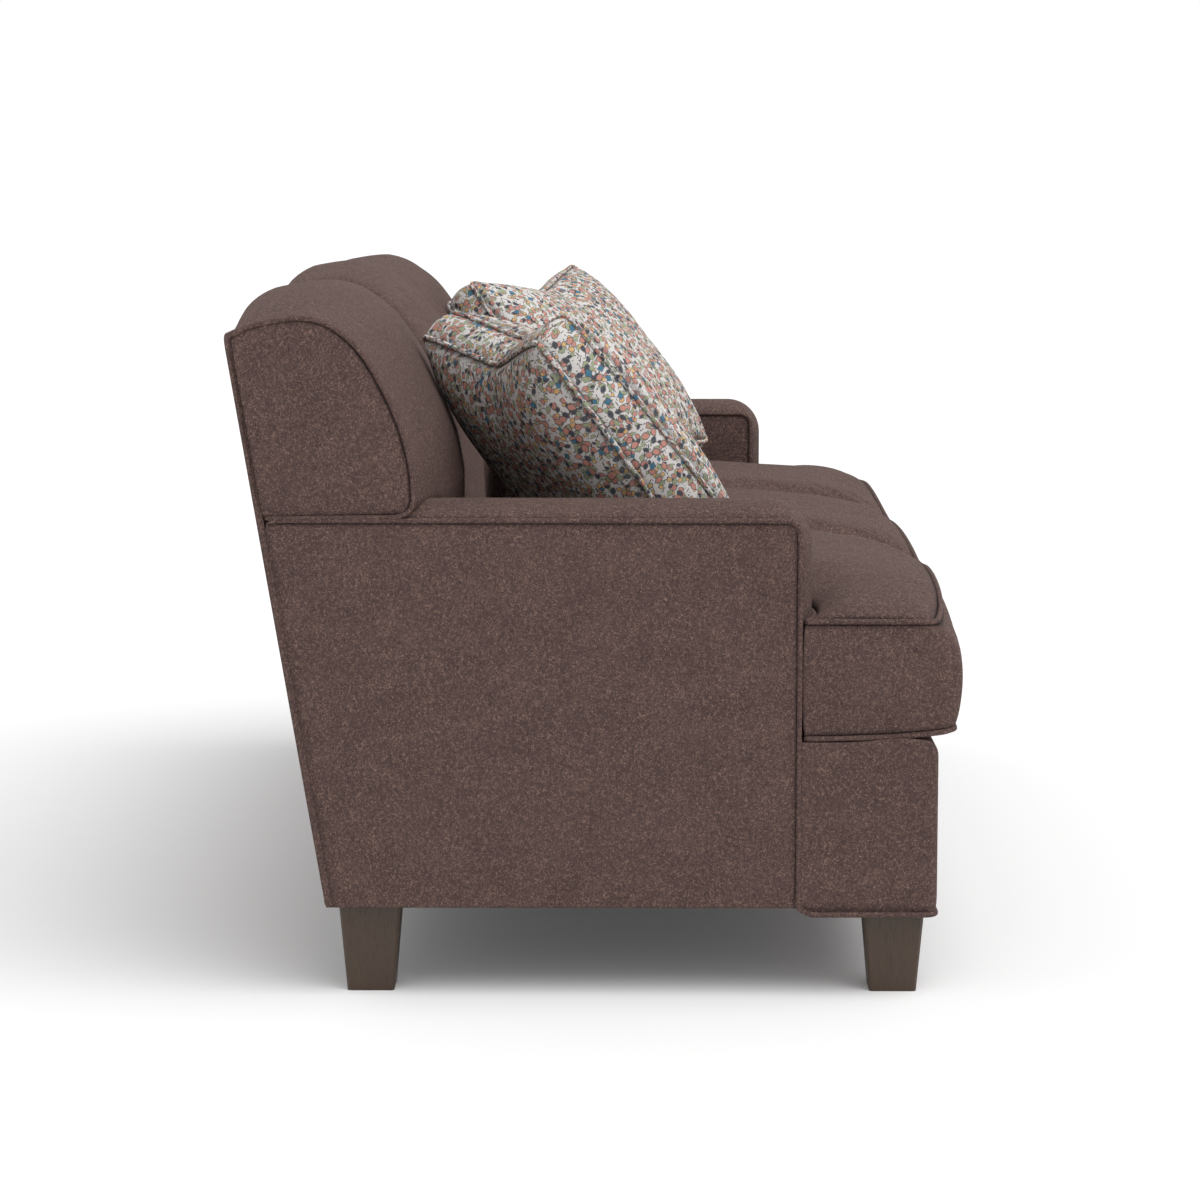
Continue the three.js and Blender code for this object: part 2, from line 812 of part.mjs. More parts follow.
function backSectionSolid(from, to, fromSeam, toSeam, crown) {
  const line = seamLine(seamSamples);
  const stations = crowded(from, to, sectionColumns);
  const share = (x) => {
    const u = (x - from) / (to - from);
    const seam = u < 0.5 ? fromSeam : toSeam;
    return seam + (1 - seam) * (1 - Math.abs(2 * u - 1) ** sectionCrownPower);
  };
  return loftAlongX(stations, (x) => sectionOutline(line, crown * share(x))).subtract(frameSpace());
}

function addBack(sofa) {
  const back = new THREE.Group();
  const joint = seatPitch / 2;
  const half = touch / 2;
  const valley = valleyShare;
  const right = backSectionSolid(-halfWidth, -joint - half, 0, valley, outerSectionCrown);
  const middle = backSectionSolid(-joint + half, joint - half, valley, valley, middleSectionCrown);
  const left = backSectionSolid(joint + half, halfWidth, valley, 0, outerSectionCrown);
  addPiece(back, 'back_section_right', right.subtract(armForm(-1, touch)), 'upholstery');
  addPiece(back, 'back_section_middle', middle, 'upholstery');
  addPiece(back, 'back_section_left', left.subtract(armForm(1, touch)), 'upholstery');
  sofa.add(back);
}

// A boxed cushion on a grid of cells. Kept cells have a top and a bottom face, and the
// boxing runs round their edge in layers. place gives a point from the grid position, the
// share of the height and the outward direction of the edge, which is zero inside.
function boxedCushion(columns, rows, kept, layers, place) {
  const positions = [];
  const triangles = [];
  const ids = new Map();
  const isKept = (i, j) => i >= 0 && j >= 0 && i < columns && j < rows && kept(i, j);
  const outward = (i, j) => {
    const west = Number(isKept(i - 1, j - 1)) + Number(isKept(i - 1, j));
    const east = Number(isKept(i, j - 1)) + Number(isKept(i, j));
    const south = Number(isKept(i - 1, j - 1)) + Number(isKept(i, j - 1));
    const north = Number(isKept(i - 1, j)) + Number(isKept(i, j));
    return new THREE.Vector2(west - east, south - north).normalize();
  };
  const vertex = (i, j, layer) => {
    const key = `${i},${j},${layer}`;
    if (!ids.has(key)) {
      ids.set(key, positions.length / 3);
      positions.push(...place(i, j, layer / layers, outward(i, j)));
    }
    return ids.get(key);
  };
  const quad = (a, b, c, d) => triangles.push(a, b, c, a, c, d);
  const wall = (i0, j0, i1, j1) => {
    for (let k = 0; k < layers; k += 1) {
      quad(vertex(i0, j0, k), vertex(i1, j1, k), vertex(i1, j1, k + 1), vertex(i0, j0, k + 1));
    }
  };
  for (let i = 0; i < columns; i += 1) {
    for (let j = 0; j < rows; j += 1) {
      if (isKept(i, j)) {
        quad(vertex(i, j, layers), vertex(i + 1, j, layers),
          vertex(i + 1, j + 1, layers), vertex(i, j + 1, layers));
        quad(vertex(i, j, 0), vertex(i, j + 1, 0), vertex(i + 1, j + 1, 0), vertex(i + 1, j, 0));
        if (!isKept(i, j - 1)) wall(i, j, i + 1, j);
        if (!isKept(i + 1, j)) wall(i + 1, j, i + 1, j + 1);
        if (!isKept(i, j + 1)) wall(i + 1, j + 1, i, j + 1);
        if (!isKept(i - 1, j)) wall(i, j + 1, i, j);
      }
    }
  }
  return solidOf(positions, triangles);
}

// The line behind a cushion's ear, which follows the crowned front of the arm.
function earBack(x) {
  const middle = halfWidth - armWidth / 2;
  const station = Math.min(Math.abs((Math.abs(x) - middle) / (armWidth / 2)), 1);
  const follows = Math.abs(x) > armInner ? 1 - station ** armCrownPower : 0;
  return armFront - ease - cushionSideBulge - armFrontCrown * follows;
}

// Rounds a corner of the plan: a point in the corner's square moves to the quarter disc.
function roundedCorner(x, y, cornerX, cornerY, radius) {
  const a = (x - cornerX) / radius;
  const b = (y - cornerY) / radius;
  if (a <= 0 || b <= 0) return [x, y];
  return [
    cornerX + radius * a * Math.sqrt(1 - b * b / 2),
    cornerY + radius * b * Math.sqrt(1 - a * a / 2),
  ];
}

// A seat cushion between inner and outer, its two sides. Where it has an ear, it runs on in
// front of the arm to the sofa's end. Distances are from the sofa's middle, on one side.
function seatCushionSolid(inner, outer, earEnd, sign) {
  const hasEar = earEnd > outer;
  const main = crowded(inner, outer, cushionColumns);
  const across = hasEar ? [...main, ...crowded(outer, earEnd, bandColumns).slice(1)] : main;
  const frontShares = crowded(0, 1, earRows);
  const rearShares = crowded(0, 1, cushionRows).slice(1);
  const rear = cushionRear;
  const columns = across.length - 1;
  const rows = frontShares.length + rearShares.length - 1;
  const kept = (i, j) => i < cushionColumns || j < earRows;
  const end = hasEar ? earEnd : outer;
  const low = borderTop + touch;
  const towardsEar = (x) => (hasEar ? ((x - inner) / (end - inner)) ** 2 : 0);
  const seamAt = (x) => cushionFront + cushionEarSetback * towardsEar(x);
  const baseY = (x, j) => {
    if (j <= earRows) return seamAt(x) + (earBack(x) - seamAt(x)) * frontShares[j];
    return earBack(0) + (rear - earBack(0)) * rearShares[j - earRows - 1];
  };
  const crownAt = (x, y, reach) => {
    const sideways = crownRise(Math.min(x - inner, end - x) / reach);
    const lengthways = crownRise(Math.min(y - seamAt(x), rear - y) / reach);
    const notch = Math.hypot(Math.max(outer - x, 0), Math.max(earBack(0) - y, 0));
    const byArm = hasEar ? crownRise(notch / reach) : 1;
    return sideways * lengthways * byArm;
  };
  const place = (i, j, share, outward) => {
    const x = across[i];
    const y = baseY(x, j);
    const nearFront = Math.exp(-(y - seamAt(x)) / cushionBottomReach);
    const r = cushionCornerRadius;
    let [px, py] = [x, y];
    if (hasEar) [px, py] = roundedTo(x, y, end - r, seamAt(end) + r, r);
    const bulge = Math.sin(Math.PI * share);
    const fullness = THREE.MathUtils.lerp(cushionFrontBulge, cushionEarBulge, towardsEar(x));
    const front = Math.max(-outward.y, 0) * fullness;
    px += outward.x * bulge * cushionSideBulge;
    py += outward.y * bulge * (outward.y < 0 ? front : cushionSideBulge);
    const bottom = low + (cushionBottomLift * nearFront + ease) * (1 - crownAt(x, y, cushionBottomReach));
    const arch = 1 - ((2 * x - inner - end) / (end - inner)) ** 2;
    const welt = low + cushionThickness + (cushionFrontRise + cushionSeamBow * arch) * nearFront;
    const top = welt + cushionCrown * crownAt(x, y, cushionCrownReach);
    return [sign * px, py, share === 0 ? bottom : share === 1 ? top : bottom + (welt - bottom) * share];
  };
  return boxedCushion(columns, rows, kept, boxingLayers, place);
}

// The same rounding for a corner at the front, where y runs the other way.
function roundedTo(x, y, cornerX, cornerY, radius) {
  const [px, py] = roundedCorner(x, -y, cornerX, -cornerY, radius);
  return [px, -py];
}

// A throw pillow in its own frame: width along X, height along Y, front face towards +Z.
function pillowSolid(grow = 0) {
  const halfW = pillowWidth / 2 + grow;
  const halfH = pillowHeight / 2 + grow;
  const xs = crowded(-1, 1, pillowCells);
  const place = (i, j, share) => {
    const u = xs[i];
    const v = xs[j];
    const [ru, rv] = [Math.abs(u * halfW), Math.abs(v * halfH)];
    const r = pillowCornerRadius + grow;
    const [mu, mv] = roundedCorner(ru, rv, halfW - r, halfH - r, r);
    const dip = v > 0 ? pillowTopDip * (1 - Math.abs(u)) ** pillowDipPower : pillowFootDip * (1 - u * u);
    const x = Math.sign(u) * mu * (1 + pillowSideBulge / halfW * (1 - v * v));
    const y = Math.sign(v) * mv * (1 - dip / halfH);
    const boxing = THREE.MathUtils.lerp(pillowBoxingFoot, pillowBoxingTop, (v + 1) / 2);
    const crown = crownRise((1 - Math.abs(u)) * halfW / pillowCrownReach)
      * crownRise((1 - Math.abs(v)) * halfH / pillowCrownReach);
    const half = boxing / 2 + grow + pillowCrown * crown;
    return [x, y, (2 * share - 1) * half];
  };
  return boxedCushion(pillowCells, pillowCells, () => true, pillowLayers, place);
}

function pillowGroup(sign) {
  const turned = new THREE.Group();
  const up = seatTop + pillowAboveSeat;
  const back = rearAt(up) - backThickness;
  turned.position.set(sign * (armInner - pillowFromArm), back - pillowFromBack, up);
  turned.rotation.z = -sign * pillowTurn;
  const leaning = new THREE.Group();
  leaning.rotation.x = Math.PI / 2 - pillowLean;
  turned.add(leaning);
  turned.updateMatrixWorld(true);
  return { turned, leaning };
}

// The hollow that a standing pillow presses into the cushion under it.
function pressedBy(sign) {
  const { leaning } = pillowGroup(sign);
  return pillowSolid(touch).transform(leaning.matrixWorld.elements);
}

function addCushions(sofa) {
  const cushions = new THREE.Group();
  const joint = seatPitch / 2;
  const gap = ease / 2 + cushionSideBulge;
  const ear = halfWidth - cushionSideBulge;
  mirrorPair((sign) => {
    const cushion = seatCushionSolid(joint + gap, armInner - gap, ear, sign);
    return cushion.subtract(pressedBy(sign));
  }).forEach(([side, solid]) => addPiece(cushions, `seat_cushion_${side}`, solid, 'upholstery'));
  const middle = seatCushionSolid(-joint + gap, joint - gap, 0, 1);
  addPiece(cushions, 'seat_cushion_middle', middle, 'upholstery');
  mirrorPair((sign) => {
    const { turned, leaning } = pillowGroup(sign);
    addPiece(leaning, `throw_pillow_${sign < 0 ? 'right' : 'left'}`, pillowSolid(), 'print');
    cushions.add(turned);
  });
  sofa.add(cushions);
}

function buildSofa() {
  const sofa = new THREE.Group();
  addLegs(sofa);
  addFrame(sofa);
  addSprings(sofa);
  addCovers(sofa);
  addBack(sofa);
  addCushions(sofa);
  const middle = new THREE.Box3().setFromObject(sofa, true).getCenter(new THREE.Vector3());
  sofa.position.set(-middle.x, -middle.y, 0);
  return sofa;
}

export default buildSofa();
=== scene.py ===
"""A three-seat sofa with square arms, T-shaped outer seat cushions, a sewn back in three
sections and two boxed throw pillows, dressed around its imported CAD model.

Metres, +Z up, X along the seat, and the seat faces -Y. The right side is at -X.
"""

import math

import bpy
import numpy as np
from mathutils import Matrix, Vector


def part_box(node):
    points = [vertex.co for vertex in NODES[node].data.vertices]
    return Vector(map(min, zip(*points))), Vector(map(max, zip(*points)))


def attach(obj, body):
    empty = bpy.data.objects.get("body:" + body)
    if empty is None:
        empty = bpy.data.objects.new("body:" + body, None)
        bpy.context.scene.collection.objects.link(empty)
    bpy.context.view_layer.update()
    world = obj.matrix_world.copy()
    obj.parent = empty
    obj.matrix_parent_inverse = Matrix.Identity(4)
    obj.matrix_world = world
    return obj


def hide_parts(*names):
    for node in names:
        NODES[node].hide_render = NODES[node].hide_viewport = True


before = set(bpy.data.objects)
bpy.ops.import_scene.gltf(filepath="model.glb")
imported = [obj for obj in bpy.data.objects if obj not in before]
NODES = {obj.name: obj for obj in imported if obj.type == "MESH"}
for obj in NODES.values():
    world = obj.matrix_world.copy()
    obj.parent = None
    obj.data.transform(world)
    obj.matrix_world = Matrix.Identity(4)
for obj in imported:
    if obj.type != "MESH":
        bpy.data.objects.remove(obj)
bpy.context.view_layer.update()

bl_info = {
    "name": "Square Arm Sofa",
    "version": (1, 0, 0),
    "blender": (4, 5, 0),
    "location": "3D View > Sidebar > Sofa",
    "description": "Builds the covers, cushions, pillows and studio of a three-seat sofa",
    "category": "Object",
}

SIDES = (("right", -1), ("left", 1))


def node_box(name):
    """Lowest and highest corner of a CAD node, as two arrays."""
    low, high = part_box(name)
    return np.array(low), np.array(high)


# Datums that the CAD model gives.
ARM_LOW, ARM_HIGH = node_box("arm_cover_right")
BORDER_LOW, BORDER_HIGH = node_box("border_front")
PANEL_LOW, PANEL_HIGH = node_box("outside_back_panel")
DECK_LOW, DECK_HIGH = node_box("seat_deck")
DUST_LOW, DUST_HIGH = node_box("dust_cover")
MIDDLE_LOW, MIDDLE_HIGH = node_box("seat_cushion_middle")

HALF_WIDTH = -ARM_LOW[0]
ARM_INNER = -ARM_HIGH[0]
ARM_HALF = (HALF_WIDTH - ARM_INNER) / 2
ARM_MIDDLE = (HALF_WIDTH + ARM_INNER) / 2
ARM_FOOT = ARM_LOW[2]
SEAT_PITCH = 2 * ARM_INNER / 3
CUSHION_LOW = MIDDLE_LOW[2]

# The outside back: its panel, the play between two solids that meet, and the rake.
PANEL_THICKNESS = 0.008
TOUCH = 0.0003
REAR_SKIN = PANEL_THICKNESS + TOUCH
REAR_SLOPE = (PANEL_HIGH[1] - PANEL_LOW[1] - PANEL_THICKNESS) / (PANEL_HIGH[2] - PANEL_LOW[2])

# The arms: how far their band stands over the welts' line, and the corners of both lines.
ARM_TOP_CROWN = 0.020
ARM_FRONT_CROWN = 0.017
ARM_WELT_RADIUS = 0.020
ARM_CROWN_RADIUS = 0.057
ARM_CROWN_GROWTH = 0.090
ARM_CROWN_POWER = 2.4
ARM_TOP = ARM_HIGH[2] - ARM_TOP_CROWN
ARM_FRONT = ARM_LOW[1] + ARM_FRONT_CROWN
BORDER_FRONT = BORDER_LOW[1]
BORDER_TOP = BORDER_HIGH[2]

# The seat cushions. Their cloth pass is free from EAR_FREE_START in front of the arms' welts,
# and fully so EAR_FREE_REACH further on, so that they lift past the arms.
CUSHION_THICKNESS = 0.156
CUSHION_GAP = 0.0035
CUSHION_BOTTOM_LIFT = 0.013
CUSHION_BOTTOM_REACH = 0.070
CUSHION_BOTTOM_ROUND = 0.002
CUSHION_BOTTOM_POWER = 2.4
CUSHION_FRONT_DIP = 0.0045
CUSHION_SIDE_BULGE = 0.0025
EAR_GAP = 0.0018
EAR_HEEL_ROUND = 0.004
EAR_TURN_POWER = 4.5
EAR_LEAN_POWER = 7
EAR_FREE_START = 0.006
EAR_FREE_REACH = 0.05

# The back sections. SECTION_POWER would be two for an even arch, and SECTION_VALLEY is the
# share of the crown that is left at a seam between two sections.
SECTION_FOOT = 0.332
SECTION_TOP = 0.874
SECTION_DEPTH = 0.200
SECTION_POWER = 1.8
SECTION_VALLEY = 0.6
OVER_ARM_RADIUS = 0.024
OVER_ARM_GAP = 0.002
VALLEY_SHADE = 0.9
VALLEY_SHADE_REACH = 0.004

# Side outline of the back at its seams, from the rear top corner over the top and down the
# front: share of the depth, share of the height and share of the crown.
BACK_OUTLINE = np.array((
    (0, 0.959, 0), (0.035, 0.967, 0.95), (0.167, 0.986, 1.2), (0.478, 1.002, 1.15),
    (0.68, 0.982, 0.8), (0.86, 0.913, 0.75), (1, 0.78, 0.9), (1.045, 0.66, 1.3),
    (1.02, 0.56, 1.6), (0.98, 0.44, 1.5), (0.93, 0.2, 0.6), (0.92, 0, 0.3)))

# The most of the crown that a section takes anywhere. The middle section is held back low on
# its front, so that its seat cushion lifts past it.
OUTER_SHARE_LIMIT = 1.6
MIDDLE_SHARE_LIMIT = 1.2

# The throw pillows. Each has slipped a little in its corner: by a roll in its own plane, a
# rise along it and a step back.
PILLOW_WIDTH = 0.425
PILLOW_HEIGHT = 0.405
PILLOW_BOXING_TOP = 0.056
PILLOW_BOXING_FOOT = 0.076
PILLOW_CORNER_RADIUS = 0.016
PILLOW_FOOT_DIP = 0.010
PILLOW_DIP_POWER = 1.3
PILLOW_V_BLUNT = 0.012
PILLOW_CROWN_POWER = 0.9
PILLOW_BOXING_BULGE = 0.004
PILLOW_PRINT_SHIFT = 0.37
PILLOW_TURN = math.radians(25.5)
PILLOW_LEAN = math.radians(38.3)
PILLOW_FROM_ARM = 0.2453
PILLOW_FROM_BACK = 0.220
PILLOW_ABOVE_SEAT = 0.1414
PILLOW_SLIP = {
    "right": (math.radians(2.0), 0.010, 0.003),
    "left": (math.radians(3.0), 0.022, 0.010),
}

# The steps along a cord, the frames of the cloth pass, and how far from a seam it gets free.
CORD_STEP = 0.005
CLOTH_FRAMES = 20
CLOTH_FREE_REACH = 0.02

# The photograph's camera, with its focal length in pixels of the photograph's width.
PHOTO_WIDTH = 1200
FOCAL_PIXELS = 3579.8
CAMERA_PLACE = (-5.5388, -0.0375, 1.0819)
CAMERA_PITCH = 0.1245
CAMERA_YAW = 0.0075
SENSOR_WIDTH = 36.0

# The studio: the floor's half width and its glow, the world's strength as a light, and each
# light's name, the way it shines, its power and its spread in degrees.
FLOOR_REACH = 60.0
FLOOR_GLOW = 0.05
WORLD_LIGHT = 0.58
LIGHTS = (
    ("key_light", (0.34, 0.42, -1.0), 1.95, 60.0),
    ("fill_light", (0.95, -0.10, -0.55), 0.25, 40.0),
)


def rear_at(z):
    """The raked rear plane: its Y grows evenly with the height z."""
    return PANEL_LOW[1] + PANEL_THICKNESS + (z - PANEL_LOW[2]) * REAR_SLOPE


def srgb(red, green, blue):
    """Linear colour of an 8-bit screen colour, with alpha one."""
    parts = np.array((red, green, blue)) / 255.0
    linear = np.where(parts <= 0.04045, parts / 12.92, ((parts + 0.055) / 1.055) ** 2.4)
    return (*map(float, linear), 1.0)


# ---- settings -----------------------------------------------------------------------

def length(name, text, default):
    """A property that holds a length in metres."""
    return bpy.props.FloatProperty(
        name=name, description=text, default=default, unit="LENGTH", precision=4)


def share(name, text, default):
    """A property that holds a plain number."""
    return bpy.props.FloatProperty(name=name, description=text, default=default, min=0.0)


def colour(name, text, red, green, blue):
    """A property that holds a colour."""
    return bpy.props.FloatVectorProperty(
        name=name, description=text, default=srgb(red, green, blue), size=4,
        subtype="COLOR", min=0.0, max=1.0)


class SofaSizes(bpy.types.PropertyGroup):
    """Sizes of the sewing and padding that the covers add to the CAD model."""

    welt_radius: length("Welt radius", "Radius of the covered cord in the seams", 0.0036)
    welt_sink: length("Welt sink", "How deep the cord's middle lies under the cloth", 0.0018)
    seam_tuck: length("Seam tuck", "How far the cloth is drawn in at a seam", 0.0062)
    seam_reach: length("Seam reach", "How far from a seam the cloth is drawn in", 0.0052)
    shade_reach: length("Shade reach", "How far from a cord the seam's shade falls off", 0.0022)
    panel_puff: length("Panel puff", "How far a tight panel stands proud in its middle", 0.0035)
    cushion_crown: length("Cushion crown", "Rise of a seat cushion's top above its seam", 0.055)
    cushion_reach: length("Cushion reach", "Distance in which the crown rises", 0.200)
    cushion_corner: length("Cushion corner", "Radius of an ear's front corner", 0.016)
    front_bulge: length("Front bulge", "How far the front boxing bulges", 0.0045)
    ear_bulge: length("Ear bulge", "How far the boxing bulges at an ear's end", 0.006)
    ear_setback: length("Ear setback", "How far the top seam runs back at an ear's end", 0.035)
    ear_foot_setback: length("Ear foot setback", "The same for the bottom seam", 0.008)
    seam_bow: length("Seam bow", "How far the front seam rises in an outer cushion's middle", 0.0215)
    middle_bow: length("Middle bow", "How far the middle cushion's front seam rises", 0.010)
    seam_lean: length("Seam lean", "How far an outer cushion's seam falls back there", 0.008)
    outer_crown: length("Outer section crown", "Crown of an outer back section", 0.0275)
    middle_crown: length("Middle section crown", "Crown of the middle back section", 0.036)
    valley_tuck: length("Valley tuck", "Depth of the seams between back sections", 0.012)
    pillow_crown: length("Pillow crown", "Rise of each face of a throw pillow", 0.050)
    pillow_reach: length("Pillow reach", "Distance in which that crown rises", 0.150)
    pillow_dip: length("Pillow dip", "Depth of the V between a pillow's upper ears", 0.048)
    pillow_bulge: length("Pillow side bulge", "How far a pillow's sides bow out", 0.014)
    border_round: length("Border round", "Radius of the front border's top edge", 0.018)
    border_crown: length("Border crown", "Rise of the border's top near the front", 0.006)
    cloth_travel: length("Cloth travel", "Furthest that the cloth pass moves a point", 0.007)
    cloth_pressure: share("Cloth pressure", "Inflation in the cloth pass", 4.0)


class SofaColours(bpy.types.PropertyGroup):
    """Colours of the finishes."""

    cloth: colour("Cloth", "Ground colour of the upholstery", 90, 71, 68)
    cloth_dark: colour("Cloth shade", "Darker yarns of the upholstery", 54, 42, 41)
    cloth_fleck: colour("Cloth fleck", "Light curly fibres of the upholstery", 138, 111, 100)
    # The dark fibres' colour, which is also the painted shade beside the seams' cords.
    cloth_dark_fibre_and_seam_shade: colour("Cloth seam", "Upholstery deep in a seam", 22, 16, 16)
    print_ground: colour("Print ground", "Ground colour of the pillow cloth", 208, 204, 201)
    print_line: colour("Print line", "Outline of the printed motifs", 44, 44, 48)
    print_coral: colour("Print coral", "Coral petals", 190, 128, 114)
    print_sage: colour("Print sage", "Sage leaves", 146, 156, 122)
    print_slate: colour("Print slate", "Slate spots", 46, 52, 66)
    print_teal: colour("Print teal", "Teal petals", 40, 104, 132)
    print_tan: colour("Print tan", "Tan spots", 212, 168, 104)
    leg_wood: colour("Leg wood", "Stained wood of the legs", 64, 43, 22)
    leg_grain: colour("Leg grain", "Dark grain of the legs", 44, 32, 22)
    timber: colour("Timber", "Bare wood of the frame", 196, 166, 122)
    timber_grain: colour("Timber grain", "Grain of the frame", 158, 126, 84)
    steel: colour("Steel", "Springs and bolts", 150, 152, 156)
    platform: colour("Platform", "Platform cloth of the seat deck", 74, 66, 64)
    dust: colour("Dust cloth", "Cloth under the seat", 38, 37, 37)
    floor: colour("Floor", "Studio floor", 243, 243, 243)


def sizes():
    """The scene's sizes."""
    return bpy.context.scene.sofa_sizes


def colours():
    """The scene's colours."""
    return bpy.context.scene.sofa_colours


# ---- surfaces -----------------------------------------------------------------------

def graded(start, end, count, crowd=0.7):
    """count + 1 stations: even steps mixed with cosine steps, so they crowd at both ends."""
    t = np.linspace(0.0, 1.0, count + 1)
    return start + (end - start) * ((1 - crowd) * t + crowd * (1 - np.cos(np.pi * t)) / 2)


def joined(*runs):
    """Runs of stations end to end. Each later run leaves out its first station."""
    return np.concatenate([runs[0], *(run[1:] for run in runs[1:])])


def dome(t):
    """A quarter circle: steep at zero and level from one on."""
    return np.sqrt(1 - (1 - np.clip(t, 0, 1)) ** 2)


def rise(t, power):
    """One minus a falling power: zero at zero and level from one on."""
    return 1 - (1 - np.clip(t, 0, 1)) ** power


def smooth(t):
    """The smooth step 3 t^2 - 2 t^3."""
    t = np.clip(t, 0, 1)
    return t * t * (3 - 2 * t)


def fade(distance, reach):
    """Falls from one as e to the minus distance over reach."""
    return np.exp(-np.maximum(distance, 0) / reach)


def round_corner(a, b, corner_a, corner_b, radius, way_a, way_b):
    """Points in a corner's square move to its quarter disc: each is scaled about the arc's
    centre by its larger offset over its distance. A way is the side that the corner is on."""
    centre_a, centre_b = corner_a - way_a * radius, corner_b - way_b * radius
    da = np.maximum((a - centre_a) * way_a, 0)
    db = np.maximum((b - centre_b) * way_b, 0)
    inside = (da > 0) & (db > 0)
    ratio = np.where(inside, np.maximum(da, db) / np.maximum(np.hypot(da, db), 1e-9), 1.0)
    return (np.where(inside, centre_a + way_a * da * ratio, a),
            np.where(inside, centre_b + way_b * db * ratio, b))


class BoxedGrid:
    """Skin of a boxed form. Kept cells of a plan grid have a top and a bottom face, and
    walls of several layers run round their edge. Each vertex is a triple i, j, k."""

    def __init__(self, kept, layers, turned=False):
        self.kept = kept
        self.layers = layers
        columns, rows = kept.shape
        self.strides = np.array(((rows + 1) * (layers + 1), layers + 1, 1))
        i, j = np.nonzero(kept)
        level = np.zeros_like(i)
        quads = [self.quad(i, j, ((0, 0), (1, 0), (1, 1), (0, 1)), level + layers),
                 self.quad(i, j, ((0, 0), (0, 1), (1, 1), (1, 0)), level)]
        ringed = np.pad(kept, 1)
        walls = (((0, -1), (0, 0), (1, 0)), ((1, 0), (1, 0), (1, 1)),
                 ((0, 1), (1, 1), (0, 1)), ((-1, 0), (0, 1), (0, 0)))
        for (di, dj), first, second in walls:
            beside = ringed[1 + di:1 + di + columns, 1 + dj:1 + dj + rows]
            wi, wj = np.nonzero(kept & ~beside)
            wi, wk = (a.ravel() for a in np.meshgrid(wi, np.arange(layers), indexing="ij"))
            wj = np.repeat(wj, layers)
            low = [self.code(wi + a, wj + b, wk) for a, b in (first, second)]
            quads.append(np.stack((low[0], low[1], low[1] + 1, low[0] + 1), axis=1))
        quads = np.concatenate(quads)
        self.codes, index = np.unique(quads, return_inverse=True)
        self.quads = index.reshape(quads.shape)
        if turned:
            self.quads = self.quads[:, ::-1]
        self.i = self.codes // self.strides[0]
        self.j = self.codes % self.strides[0] // self.strides[1]
        self.k = self.codes % self.strides[1]

    def code(self, i, j, k):
        """One number for a grid triple."""
        return i * self.strides[0] + j * self.strides[1] + k

    def quad(self, i, j, corners, k):
        """Codes of the four corners of flat cells."""
        return np.stack([self.code(i + a, j + b, k) for a, b in corners], axis=1)

    def line(self, *corners):
        """Vertex numbers along straight runs between grid triples."""
        triples = []
        for start, end in zip(corners, corners[1:]):
            steps = max(abs(b - a) for a, b in zip(start, end))
            run = np.linspace(start, end, steps + 1).round().astype(int)
            triples.append(run if not triples else run[1:])
        triples = np.concatenate(triples)
        return np.searchsorted(self.codes, self.code(*triples.T))

    def seams(self, *corners):
        """Vertex numbers of the two closed seams, above and below, through plan corners."""
        loop = (*corners, corners[0])
        return [self.line(*((i, j, k) for i, j in loop))[:-1] for k in (self.layers, 0)]

    def outward(self):
        """Plan direction out of the kept cells at each vertex, zero inside them."""
        cell = np.pad(self.kept, 1).astype(float)
        south_west, south_east = cell[:-1, :-1], cell[1:, :-1]
        north_west, north_east = cell[:-1, 1:], cell[1:, 1:]
        across = south_west + north_west - south_east - north_east
        along = south_west + south_east - north_west - north_east
        size = np.maximum(np.hypot(across, along), 1e-9)
        return (across / size)[self.i, self.j], (along / size)[self.i, self.j]


def whole_grid(columns, rows, layers, turned=False):
    """The skin of a plain box, with every cell of its plan kept."""
    return BoxedGrid(np.ones((columns, rows), bool), layers, turned)


def vertex_normals(points, quads):
    """Outward direction at each vertex: the sum of its faces' crossed diagonals."""
    corners = points[quads]
    normals = np.cross(corners[:, 2] - corners[:, 0], corners[:, 3] - corners[:, 1])
    total = np.stack([
        np.bincount(quads.ravel(), np.repeat(normals[:, axis], 4), len(points))
        for axis in range(3)], axis=1)
    return total / np.maximum(np.linalg.norm(total, axis=1, keepdims=True), 1e-12)


def drawn_in(points, quads, distance, tuck, reach):
    """Each point moves in along its normal by tuck times e to the minus distance / reach."""
    return points - vertex_normals(points, quads) * (tuck * fade(distance, reach))[:, None]


def tucked(points, quads, distance, share=1.0):
    """The points drawn in at their seams, and the same surface drawn in by the welt's own
    depth, on which the cords lie."""
    s = sizes()
    drawn = drawn_in(points, quads, distance, s.seam_tuck * share, s.seam_reach)
    return drawn, drawn_in(points, quads, distance, s.welt_sink, s.seam_reach)


def painted_seam_shade(distance, most=0.95):
    """Painted seam shade: how dark a point is painted beside a seam, full beside the cord, and falling
    from there.
    """
    s = sizes()
    return most * fade(distance - s.welt_radius, s.shade_reach)


